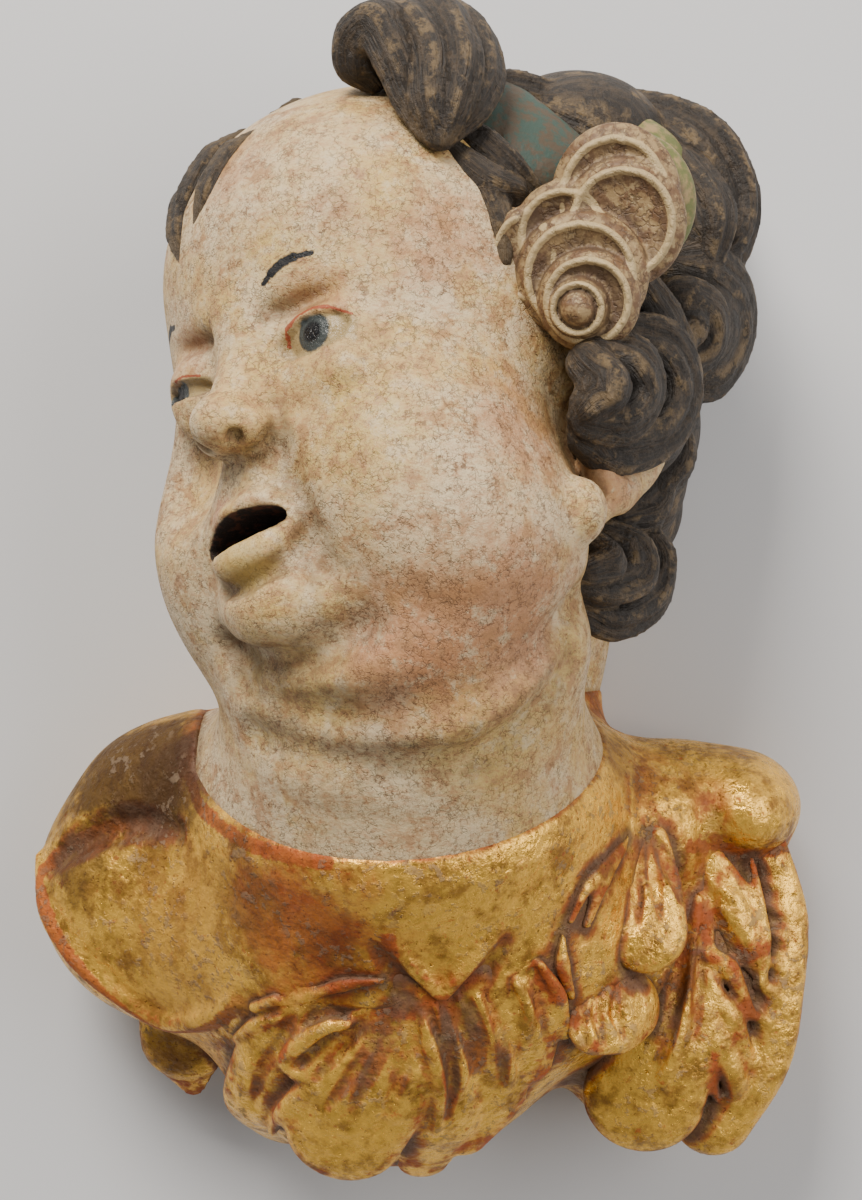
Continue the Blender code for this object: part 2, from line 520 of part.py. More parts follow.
def wing_steps(under):
    def on(points, lift=0.0):
        return laid(points, under, lift)

    def plume(points, widths, lift=0.0, root=-3.0, **more):
        return feather(on(points, np.linspace(lift + root, lift, len(points))), widths, **more)

    def ridge(points, radii, lift=0.5, soft=1.0):
        return added([roll(on(points, lift), radii, soft=soft)])

    # the viewer's left wing is a plain cap with a raised rim
    left = ridge([(-76, -24, -50.5), (-74, -26, -60), (-68, -28, -68.5), (-60, -30, -75), (-51, -33, -80),
                  (-43, -40, -78.5), (-36, -48, -73.5)],
                 [1.6, 2.2, 2.4, 2.4, 2.4, 2.2, 1.6], lift=-0.5, soft=1.2)
    crease = taken([roll(on([(-73.5, -32, -51.5), (-68.5, -38, -47), (-61, -44, -43.5), (-54.5, -50, -42),
                             (-47, -56, -43)]),
                         [1.2, 2.6, 3.0, 2.4, 1.0], soft=2.5)])
    tip = feather([(-48.5, -22, -79.5), (-49, -20, -87.5), (-48, -15, -98)], [9.5, 9, 2.5], rib=0.8)
    # the bib of the cape comes to a point over the middle feathers
    bib = taken([roll(on([(-10, -64, -60.5), (-4.5, -62, -68.5), (2, -60, -73.5), (8, -62, -68.5),
                          (13.5, -64, -60)]),
                      [0.6, 1.7, 1.9, 1.7, 0.6], soft=3)])
    bib += ridge([(-8.5, -66, -57), (-4, -64, -64.5), (2, -62, -69.5), (7.5, -64, -64.5), (12, -66, -58)],
                 [0.4, 1.2, 1.4, 1.2, 0.4], lift=-0.2, soft=1.2)
    middle = []
    middle += plume([(0, -54, -70), (3, -46, -82), (1.5, -32, -95.5), (-1.5, -20, -106.5)], [5, 8, 8, 5],
                    0.5, rib=0)
    middle += plume([(13.5, -54, -66.5), (16, -46, -76.5), (17, -34, -85)], [7, 8, 5.5], -0.5, rib=0)
    middle += plume([(7, -56, -68), (10, -48, -79.5), (11, -34, -91.5), (6.5, -24, -101)], [5, 7, 7, 4.5],
                    0.5, rib=0)
    middle += plume([(-21, -46, -71.5), (-28, -34, -84.5), (-33, -24, -96.5), (-31.5, -16, -106)],
                    [6, 8.5, 7, 6.5], 0.5, rib=0.6)
    middle += plume([(-5, -58, -69.5), (-8, -54, -78.5), (-12, -46, -88.5), (-16, -34, -98)],
                    [4, 9, 12.5, 11.2], 1.5, flat=0.3,
                    rib=0)
    for rib in ([(-4, -58, -70.5), (-8, -54, -79.5), (-12, -46, -87.5), (-16.5, -38, -95)],
                [(-6, -58, -70.5), (-10, -54, -79.5), (-14.5, -46, -88), (-18.5, -38, -93.5)]):
        middle += ridge(rib, [0.8, 1.1, 1.1, 0.5], lift=[0.5, 2.0, 3.2, 4.0])
    middle += ridge([(-6, -54, -78.5), (-5, -48, -85.5), (-6.5, -42, -94)], [0.8, 1.7, 0.8],
                    lift=[2, 3.2, 3.8])
    middle += ridge([(-4.5, -54, -78), (-2.5, -48, -84.5), (0, -42, -89)], [0.8, 1.5, 0.7],
                    lift=[2, 3, 3])
    middle += ridge([(-12, -52, -76.5), (-18, -50, -76), (-24, -44, -80.5), (-26.5, -43, -84.5),
                     (-24, -44, -86)],
                    [0.7, 1.7, 1.9, 1.7, 1.0], lift=[1.5, 2.4, 3.2, 3.8, 3.6])
    middle += ridge([(-13, -50, -81.5), (-19, -46, -85), (-24.5, -44, -86)], [0.6, 1.4, 1.2],
                    lift=[2.2, 3.2, 3.6])
    middle += ridge([(-14.5, -47, -85.5), (-21.5, -42, -89), (-27, -38, -94), (-30, -32, -100.5)],
                    [0.8, 1.6, 1.8, 1.0],
                    lift=[2.6, 3.4, 4, 4])
    middle += ridge([(-27.5, -42, -75.5), (-32, -38, -77.5), (-36, -34, -81)], [0.8, 1.5, 0.8], lift=1.2)
    middle += ridge([(-30, -36, -84.5), (-33.5, -34, -86), (-36.5, -30, -89.5)], [0.8, 1.7, 0.8],
                    lift=2.6)
    middle += ridge([(-31.5, -34, -89), (-34.5, -31, -91), (-37.5, -27, -95)], [0.8, 1.7, 0.8], lift=3)
    middle += ridge([(-2.5, -58, -72), (0, -52, -80.5), (2, -44, -89.5), (1, -36, -98)],
                    [0.8, 1.7, 1.7, 0.8],
                    lift=[0.5, 2.4, 3.2, 3.6])
    middle += ridge([(1, -58, -72), (3.5, -54, -78.5), (5.5, -46, -85), (5, -42, -90)],
                    [0.8, 1.6, 1.6, 0.8],
                    lift=[0.2, 1.6, 2.4, 2.8])
    middle += ridge([(5, -57, -70.5), (7.5, -51, -76.5), (9, -43, -84.5)], [0.7, 1.4, 0.8],
                    lift=[0, 1.2, 2])
    middle += ridge([(8, -57, -70.5), (11.5, -51, -78), (14, -43, -85.5), (13, -38, -92)],
                    [0.7, 1.6, 1.6, 0.8],
                    lift=[0, 1.4, 2.2, 2.4])
    middle += ridge([(15, -57, -68), (17.5, -51, -73.5), (17, -44, -80.5)], [0.7, 1.4, 0.8],
                    lift=[0.2, 1.2, 1.6])
    middle += ridge([(19.5, -57, -65), (23, -51, -71.5), (24.5, -40, -79.5)], [0.8, 1.6, 1.0], lift=0.8)
    middle += ridge([(-8.5, -58, -67), (-15.5, -54, -68), (-23.5, -48, -71.5)], [0.6, 1.4, 0.8], lift=0.3)
    middle += ridge([(-28, -44, -72), (-32, -40, -74)], [1.2, 1.2], lift=0.2)
    # the viewer's right wing: a round shoulder, then feathers lapped from the outside in
    shoulder = added([ball((60.5, -20, -40.5), (12.6, 21, 11), soft=2.5),
                      ball((51.5, -22, -37.5), (9, 14, 7), soft=6),
                      ball((44, -40, -42), (5, 4.5, 5), soft=7)])
    right = plume([(65, -34, -48.5), (67.5, -34, -61.5), (66, -32, -74.5), (63, -26, -88.5),
                   (55, -20, -101)],
                   [4.5, 5.8, 6.2, 6.8, 7.8], -1.0, root=0, rib=0.0, flat=0.5)
    barbs = [(67, -52), (67.4, -56), (67.2, -60.2), (66.7, -64.8), (65.8, -69.7), (64.7, -75.1),
             (63.2, -80.6)]
    for across, up in barbs:
        right += ridge([(across - 3.4, -38, up + 1.1), (across, -36, up), (across + 3.8, -30, up - 2.7)],
                       [0.7, 1.6, 1.2], lift=[1.5, 2.0, 1.2], soft=1.8)
    right += plume([(50, -38, -62), (48, -39, -73), (45.5, -36, -84), (41, -28, -95)], [3, 6, 10, 11.8],
                   1.5, root=-1.5,
                   flat=0.36, rib=0)
    right += ridge([(50, -40, -62.5), (48, -41, -72.5), (45.5, -38, -83.5), (43, -34, -95)],
                   [0.9, 1.5, 1.3, 0.6],
                   lift=[1.5, 3.2, 4.6, 5.6])
    right += ridge([(47, -40, -65.5), (44.5, -41, -75.5), (42, -38, -83.5)], [0.6, 1.1, 0.6],
                   lift=[1.5, 3, 4.2])
    right += plume([(52.5, -38, -51), (56, -40, -57.5), (60.5, -38, -65.5), (63, -34, -73)],
                   [3, 5.2, 4.6, 1.2], 2.0, root=-1, rib=0.0)
    right += ridge([(60.5, -36, -51), (62, -38, -58), (62.5, -38, -65.5), (62.5, -36, -73.5)],
                   [0.8, 1.3, 1.4, 0.8], lift=3)
    right += ridge([(53.5, -38, -57), (57, -38, -60.5), (60, -36, -64.5)], [1.0, 1.9, 0.8], lift=3.4)
    right += ridge([(51, -38, -65.5), (56, -38, -69), (60.5, -36, -73.5)], [0.8, 1.5, 0.7], lift=2.6)
    right += ridge([(52, -38, -67.5), (56.5, -39, -73), (60, -36, -80), (61, -31, -87)],
                   [0.8, 2.4, 2.4, 1.0], lift=2.4)
    right += ridge([(51, -38, -73.5), (54, -38, -80.5), (58.5, -34, -87.5), (58.5, -29, -94.5),
                    (56.5, -27, -99)],
                   [0.8, 2.6, 2.8, 2.0, 1.0], lift=2.6)
    right += ridge([(49.5, -38, -79), (51.5, -37, -86), (55, -33, -90.5)], [0.8, 1.8, 0.8], lift=3.6)
    right += plume([(37, -42, -76.5), (34, -44, -77), (30, -45, -78)], [6.4, 7, 5.8], 2.0, root=0,
                   flat=0.45, rib=0.0)
    for across in (29.3, 33.4, 38.3):
        right += ridge([(across + 0.7, -44, -71.4), (across - 0.4, -46, -76.2),
                        (across + 0.4, -44, -81.1)],
                       [0.7, 1.3, 0.7], lift=4.6)
    right += plume([(28, -52, -48), (28, -52, -55), (28.5, -48, -63)], [3, 4, 1], 0.5, root=-1, rib=0.8)
    right += plume([(23, -52, -60.5), (24, -50, -66.5), (26.5, -46, -73.5)], [4, 4, 1], 0.2, root=-1,
                   rib=0.7)
    right += plume([(42, -44, -46), (40.5, -48, -53), (39.5, -48, -61)], [3.5, 7, 8.3], 2.0, root=-3,
                   flat=0.4, rib=0.0)
    for barb in ([(36.5, -46, -49), (34, -48, -56.5), (34.5, -46, -64.5)],
                 [(39, -46, -48), (39.5, -50, -55.5), (41, -48, -63.5)],
                 [(41.5, -46, -48), (44.5, -48, -53.5), (46, -46, -61)]):
        right += ridge(barb, [0.7, 1.4, 0.8], lift=[1.5, 4.2, 5.0])
    return left + crease + tip + bib + shoulder, middle, right


LOW = (-84, -124, -124)  # the lattice reaches from this corner, millimetres
HIGH = (84, 4, 124)  # to this one


def keep_outer_skin(piece):
    """Drops every loose shell but the largest: closed hollows left inside the mass."""
    mesh = bmesh.new()
    mesh.from_mesh(piece.data)
    mesh.faces.ensure_lookup_table()
    seen, shells = set(), []
    for face in mesh.faces:
        if face.index in seen:
            continue
        shell, queue = [], [face]
        seen.add(face.index)
        while queue:
            here = queue.pop()
            shell.append(here)
            for edge in here.edges:
                for other in edge.link_faces:
                    if other.index not in seen:
                        seen.add(other.index)
                        queue.append(other)
        shells.append(shell)
    shells.sort(key=len)
    for shell in shells[:-1]:
        bmesh.ops.delete(mesh, geom=shell, context="FACES")
    mesh.to_mesh(piece.data)
    mesh.free()


SAW_SIZE = 0.4  # metres: wider than the carving on every side


def apply_modifier(piece, kind, **settings):
    step = piece.modifiers.new(kind.title(), kind)
    for name, value in settings.items():
        setattr(step, name, value)
    with bpy.context.temp_override(object=piece, active_object=piece):
        bpy.ops.object.modifier_apply(modifier=step.name)


def thin_out(piece, faces):
    """Fewer, larger facets where the surface is smooth."""
    apply_modifier(piece, "TRIANGULATE")
    apply_modifier(piece, "DECIMATE", ratio=faces / len(piece.data.polygons))


def saw_back(piece):
    """The back is sawn flat where the carving meets the wall."""
    bpy.ops.mesh.primitive_cube_add(size=1)
    saw = bpy.context.active_object
    saw.scale = (SAW_SIZE, SAW_SIZE, SAW_SIZE)
    saw.location = (0, SAW_SIZE / 2, 0)
    apply_modifier(piece, "BOOLEAN", operation="DIFFERENCE", object=saw, solver="EXACT")
    apply_modifier(piece, "TRIANGULATE")
    bpy.data.objects.remove(saw)


def all_steps():
    head, details = head_steps()
    bust = bust_steps()
    collar = [("add", cape(bust))]
    left, middle, right = wing_steps(collar)
    low_hair, locks = hair_steps()
    steps = head + bust + details + collar + added(low_hair) + ear_steps() + band_steps() + added(locks)
    return steps + leaf_steps() + rose_steps() + left + middle + right


FLESH_COLOUR = (0.48, 0.3, 0.18, 1)


def painted_wood():
    """Flesh paint over gesso, the colour most of the carving shows."""
    finish = bpy.data.materials.new("painted_wood")
    finish.use_nodes = True
    shader = finish.node_tree.nodes["Principled BSDF"]
    shader.inputs["Base Color"].default_value = FLESH_COLOUR
    shader.inputs["Roughness"].default_value = 0.55
    shader.inputs["Metallic"].default_value = 0.0
    return finish


def build(grain=GRAIN, faces=FACETS):
    for old in list(bpy.data.objects):
        bpy.data.objects.remove(old)
    carving = skin("cherub", all_steps(), LOW, HIGH, grain)
    keep_outer_skin(carving)
    if faces:
        thin_out(carving, faces)
        saw_back(carving)
    for face in carving.data.polygons:
        face.use_smooth = True
    carving.data.materials.append(painted_wood())
    group = bpy.data.collections.new("cherub_wall_plaque")
    bpy.context.scene.collection.children.link(group)
    group.objects.link(carving)
    bpy.context.scene.collection.objects.unlink(carving)
    return carving


if __name__ == "__main__":
    build()
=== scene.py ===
"""Carved cherub head over a collar of gilded wings, painted and worn, hung on a pale wall.

Sizes in the carving are millimetres: the wall is the plane y = 0 and the carving faces -Y.
"""

import math
from concurrent.futures import ThreadPoolExecutor
from functools import partial

import bmesh
import bpy
import numpy as np
import openvdb
from mathutils import Matrix, Vector


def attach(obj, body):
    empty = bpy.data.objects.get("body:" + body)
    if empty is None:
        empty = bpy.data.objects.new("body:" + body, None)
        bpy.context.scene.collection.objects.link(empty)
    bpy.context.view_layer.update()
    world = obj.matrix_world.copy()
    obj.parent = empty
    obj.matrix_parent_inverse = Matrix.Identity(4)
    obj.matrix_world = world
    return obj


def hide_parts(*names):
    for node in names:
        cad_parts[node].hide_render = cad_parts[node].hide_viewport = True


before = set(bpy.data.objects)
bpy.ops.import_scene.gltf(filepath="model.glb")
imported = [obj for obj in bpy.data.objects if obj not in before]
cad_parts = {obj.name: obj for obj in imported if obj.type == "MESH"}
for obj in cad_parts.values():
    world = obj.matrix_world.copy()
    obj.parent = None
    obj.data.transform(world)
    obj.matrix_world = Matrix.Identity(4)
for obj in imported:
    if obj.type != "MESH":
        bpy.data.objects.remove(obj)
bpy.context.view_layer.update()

# Head, neck and breast
# One block of soft wood, carved round, laid over with gesso and painted in flesh colours.
# The paint is old: finely cracked, rubbed thin over the rounds, and brown in the hollows with dirt and with
# painted shade.
MM = 0.001
FAR = 1e3  # depth where no form is near
FLESH_GRAIN = 0.8  # spacing of the lattice that the skin is found on


class Form:
    """A shape to carve with: how far outside it a point lies, the box round it, how softly it joins
    what it meets, and for a roll the ways along and round it."""

    def __init__(self, depth, low, high, soft=0.0, ways=None):
        self.depth = depth
        self.low = low
        self.high = high
        self.soft = soft
        self.ways = ways


def rotation(degrees):
    """Turns about x, then y, then z."""
    x, y, z = (math.radians(a) for a in degrees)
    turn = Matrix.Rotation(z, 3, "Z") @ Matrix.Rotation(y, 3, "Y") @ Matrix.Rotation(x, 3, "X")
    return np.array(turn)


class Place:
    """A frame to model in: its axes and its origin, in millimetres of the whole piece."""

    def __init__(self, axes=np.eye(3), origin=(0, 0, 0)):
        self.axes = np.array(axes, float)
        self.origin = np.array(origin, float)

    def point(self, at):
        return np.array(at, float) @ self.axes.T + self.origin


WALL = Place()


def ball(centre, radii, turn=(0, 0, 0), soft=0.0, place=WALL):
    """A ball stretched to three radii and turned by degrees. soft is how far it runs into others."""
    centre, radii = place.point(centre), np.array(radii, float)
    axes = place.axes @ rotation(turn)

    def depth(points):
        local = (points - centre) @ axes
        near = np.sqrt(((local / radii) ** 2).sum(1))
        steep = np.sqrt(((local / radii**2) ** 2).sum(1))
        return near * (near - 1) / np.maximum(steep, 1e-9)

    reach = np.abs(axes) @ radii
    return Form(depth, centre - reach, centre + reach, soft)


def smooth_line(points, steps=6):
    """Catmull-Rom curve through the points."""
    p = np.array(points, float)
    p = np.vstack([2 * p[0] - p[1], p, 2 * p[-1] - p[-2]])
    out = []
    for a, b, c, d in zip(p[:-3], p[1:-2], p[2:-1], p[3:]):
        square = 2 * a - 5 * b + 4 * c - d
        cube = 3 * b - a - 3 * c + d
        for t in np.linspace(0, 1, steps, endpoint=False):
            out.append(0.5 * (2 * b + (c - a) * t + square * t**2 + cube * t**3))
    out.append(p[-2])
    return np.array(out)


def spread(values, line):
    """Values given at even steps, read at every point of a line."""
    return np.interp(np.linspace(0, 1, len(line)), np.linspace(0, 1, len(values)), values)


def roll(points, radii, soft=0.0, place=WALL, strands=0, cut=0.0, flat=1.0, up=(0, -1, 0), fine=0.0):
    """A tapering roll through points. With strands it is a lock of hair: cut is how deep the
    valleys between strands go, as a share of the radius, and fine how deep the smaller grooves
    in them go. flat thins it along up. The form's ways tell how far round it and along it a
    point is, and how near the top of a strand."""
    line = smooth_line([place.point(p) for p in points])
    widths = spread(radii, line)
    up = place.axes @ np.array(up, float)
    runs = np.diff(line, axis=0)
    passed = np.concatenate([[0], np.cumsum(np.linalg.norm(runs, axis=1))])
    frames = []
    for run in runs:
        along = run / np.linalg.norm(run)
        up = up - along * (up @ along)
        up = up / np.linalg.norm(up)
        frames.append((up, np.cross(along, up)))

    def ways(where):
        best = np.full(len(where), FAR)
        around = np.zeros(len(where))
        forward = np.zeros(len(where))
        tops = np.zeros(len(where))
        for k, (a, run) in enumerate(zip(line[:-1], runs)):
            ra, rb = widths[k], widths[k + 1]
            near = np.abs(where - a - run / 2).max(1) < np.linalg.norm(run) / 2 + max(ra, rb) + 8
            if not near.any():
                continue
            off = where[near] - a
            t = np.clip(off @ run / (run @ run), 0, 1)
            off = off - t[:, None] * run
            radius = ra + (rb - ra) * t
            if strands or flat != 1.0:
                high, side = frames[k]
                h, s = off @ high, off @ side
                rest = off - h[:, None] * high - s[:, None] * side
                far = np.sqrt((h / flat) ** 2 + s**2 + (rest**2).sum(1))
                angle = np.arctan2(s, h / flat)
                ridge = np.abs(np.cos((angle - math.pi / 2) * strands / 2)) ** 0.7
                top = ridge
                if fine:
                    wander = angle + 0.25 * np.sin((passed[k] + t * 2) * 0.35)
                    ridge = ridge - fine * np.abs(np.cos(wander * strands * 1.5)) / max(cut, 0.01)
                gap = (far - radius * (1 - cut + cut * ridge)) * min(flat, 1.0) ** 0.5
            else:
                gap = np.sqrt((off**2).sum(1)) - radius
                angle = np.zeros(len(off))
                top = angle
            closer = gap < best[near]
            here = np.nonzero(near)[0][closer]
            best[here] = gap[closer]
            around[here] = angle[closer]
            forward[here] = passed[k] + t[closer] * np.linalg.norm(run)
            tops[here] = top[closer]
        return best, around, forward, tops

    reach = widths.max()
    return Form(lambda where: ways(where)[0], line.min(0) - reach, line.max(0) + reach, soft, ways)


def mirrored(maker, where, *rest, **more):
    """The same form on both sides of the face."""
    where = np.array(where, float)
    forms = [maker(where, *rest, **more)]
    if "turn" in more:
        ax, ay, az = more["turn"]
        more = {**more, "turn": (ax, -ay, -az)}
    return forms + [maker(where * [-1, 1, 1], *rest, **more)]


def soft_join(a, b, soft):
    """Two depths joined with a fillet about this wide."""
    if soft <= 0:
        return np.minimum(a, b)
    near = np.clip(soft - np.abs(a - b), 0, None) / soft
    return np.minimum(a, b) - near**2 * soft / 4


MARGIN = 6.0  # how far from a form its field is still worked out


def field_of(steps, points):
    """Adds and cuts the forms in their order. steps holds ("add", form) and ("cut", form)."""
    total = np.full(len(points), FAR)
    for action, form in steps:
        room = MARGIN + form.soft
        near = ((points > form.low - room) & (points < form.high + room)).all(1)
        if not near.any():
            continue
        depth = form.depth(points[near])
        if action == "add":
            total[near] = soft_join(total[near], depth, form.soft)
        else:
            total[near] = -soft_join(-total[near], depth, form.soft)
    return total


def added(forms):
    return [("add", form) for form in forms]


def taken(forms):
    return [("cut", form) for form in forms]


def endless(depth):
    """A form with no box round it."""
    return Form(depth, np.full(3, -FAR), np.full(3, FAR))


SAWN_BACK = taken([endless(lambda points: -points[:, 1])])  # all that lies behind the plane of the wall
HALVINGS = 3  # how many times a block is halved, down to the grain
NEAR_BLOCK = 1.1  # it is halved where the surface runs this near its middle, as a share of its size,
NEAR_MORE = 0.8  # and this much more
KEPT_DEPTH = 2.0  # depths from the surface on are told apart as far as this
BLOCK_ROWS = 30000  # points worked out in one go
EMPTY = 2  # lattice left free round a piece
ON_WALL = 0.02  # a corner this near the plane of the wall lies on the sawn back
ROUND_SIDES = 4  # faces with more sides than this are the flat ones


def lattice(steps, low, high, grain):
    """The field on a lattice of this grain. Blocks are halved only where the surface runs near them."""
    size = grain * 2**HALVINGS
    shape = np.ceil((high - low) / size).astype(int)
    cells = np.stack(np.meshgrid(*(np.arange(n) for n in shape), indexing="ij"), -1).reshape(-1, 3)
    halves = np.stack(np.meshgrid([0, 1], [0, 1], [0, 1], indexing="ij"), -1).reshape(-1, 3)
    values = np.zeros(shape, np.float32)
    for level in range(HALVINGS + 1):
        if level:
            size /= 2
            values = values.repeat(2, 0).repeat(2, 1).repeat(2, 2)
            cells = (cells[:, None] * 2 + halves).reshape(-1, 3)
        found = in_blocks(lambda block: field_of(steps, low + (block + 0.5) * size), cells)
        values[tuple(cells.T)] = np.clip(found, -KEPT_DEPTH, KEPT_DEPTH)
        cells = cells[np.abs(found) < size * NEAR_BLOCK + NEAR_MORE]
    return values


def in_blocks(work, rows):
    """The work done on the rows in blocks, several at a time."""
    blocks = np.array_split(rows, max(1, len(rows) // BLOCK_ROWS))
    with ThreadPoolExecutor() as pool:
        return np.concatenate(list(pool.map(work, blocks)))


def skin(name, steps, grain, around=None):
    """Draws a closed skin where the field is nought, and marks how hollow and how edged it is at
    each corner. around holds the forms beside the piece, which make hollows with it."""
    forms = [form for action, form in steps if action == "add"]
    low = np.min([form.low for form in forms], axis=0) - EMPTY
    high = np.max([form.high for form in forms], axis=0) + EMPTY
    high[1] = min(high[1], EMPTY)
    grid = openvdb.FloatGrid(KEPT_DEPTH)
    grid.copyFromArray(lattice(steps, low, high, grain))
    points, quads = grid.convertToQuads(isovalue=0.0)
    points = (points + 0.5) * grain + low
    mesh = bpy.data.meshes.new(name)
    mesh.from_pydata((points * MM).tolist(), [], quads.tolist())
    mesh.update()
    mesh.polygons.foreach_set("use_smooth", np.ones(len(quads), bool))
    made = bpy.data.objects.new(name, mesh)
    bpy.context.scene.collection.objects.link(made)
    normals = np.empty(len(points) * 3, np.float32)
    mesh.vertex_normals.foreach_get("vector", normals)
    normals = normals.reshape(-1, 3)
    rows = np.hstack([points, normals])
    near = steps + (around or [])
    hollows, edges = [], []
    for reach in (1.2, 3.5):
        out = in_blocks(lambda block: field_of(near, block[:, :3] + block[:, 3:] * reach), rows)
        into = in_blocks(lambda block: field_of(steps, block[:, :3] - block[:, 3:] * reach), rows)
        hollows.append(np.clip(1 - out / reach, 0, 1))
        edges.append(np.clip(1 + into / reach, 0, 1))
    mark(made, "hollow", np.max(hollows, 0))
    mark(made, "edge", np.max(edges, 0))
    lie_flat(made)
    return made


def lie_flat(piece):
    """Joins the small faces of the sawn back into one flat face."""
    mesh = bmesh.new()
    mesh.from_mesh(piece.data)
    sawn = [face for face in mesh.faces if all(abs(corner.co.y / MM) < ON_WALL for corner in face.verts)]
    bmesh.ops.dissolve_faces(mesh, faces=sawn)
    for face in mesh.faces:
        face.smooth = len(face.verts) <= ROUND_SIDES
    mesh.to_mesh(piece.data)
    mesh.free()


def mark(piece, name, values):
    """Writes a value or a vector at every corner of the piece, for its paint to read."""
    kind = "FLOAT" if np.ndim(values) == 1 else "FLOAT_VECTOR"
    layer = piece.data.attributes.new(name, kind, "POINT")
    layer.data.foreach_set("value" if kind == "FLOAT" else "vector", np.ravel(values).astype(np.float32))


def corners(piece):
    """Every corner of the piece in millimetres."""
    found = np.empty(len(piece.data.vertices) * 3)
    piece.data.vertices.foreach_get("co", found)
    return found.reshape(-1, 3) / MM


FRONT = -110.0  # no form comes further forward than this


def laid(points, under, lift=0.0):
    """The points moved in or out until they lie on the forms under them, then lifted off by this much."""
    points = np.array(points, float)
    depths = np.arange(FRONT, 2, 1.0)
    lifts = np.broadcast_to(lift, len(points))
    for point, lift in zip(points, lifts):
        column = np.column_stack([np.full(len(depths), point[0]), depths, np.full(len(depths), point[2])])
        values = field_of(under, column)
        inside = np.nonzero(values < 0)[0]
        if len(inside) and inside[0]:
            i = inside[0]
            point[1] = depths[i - 1] + values[i - 1] / (values[i - 1] - values[i]) - lift
    return points


HEAD_TIP, HEAD_LEAN, HEAD_TURN = -14, -4, -40
HEAD_AT = (-6, -52, 34)
HEAD_TURNED = rotation((0, HEAD_LEAN, 0)) @ rotation((HEAD_TIP, 0, 0)) @ rotation((0, 0, HEAD_TURN))
HEAD = Place(HEAD_TURNED, HEAD_AT)
SKULL_AT, SKULL = (0, 7, 17), (41, 45, 46)
head_ball = partial(ball, place=HEAD)
head_roll = partial(roll, place=HEAD)
MOUTH = head_ball((-2.6, -41, -28.9), (10.2, 12, 2.3), turn=(0, -8, 0), soft=0.8)


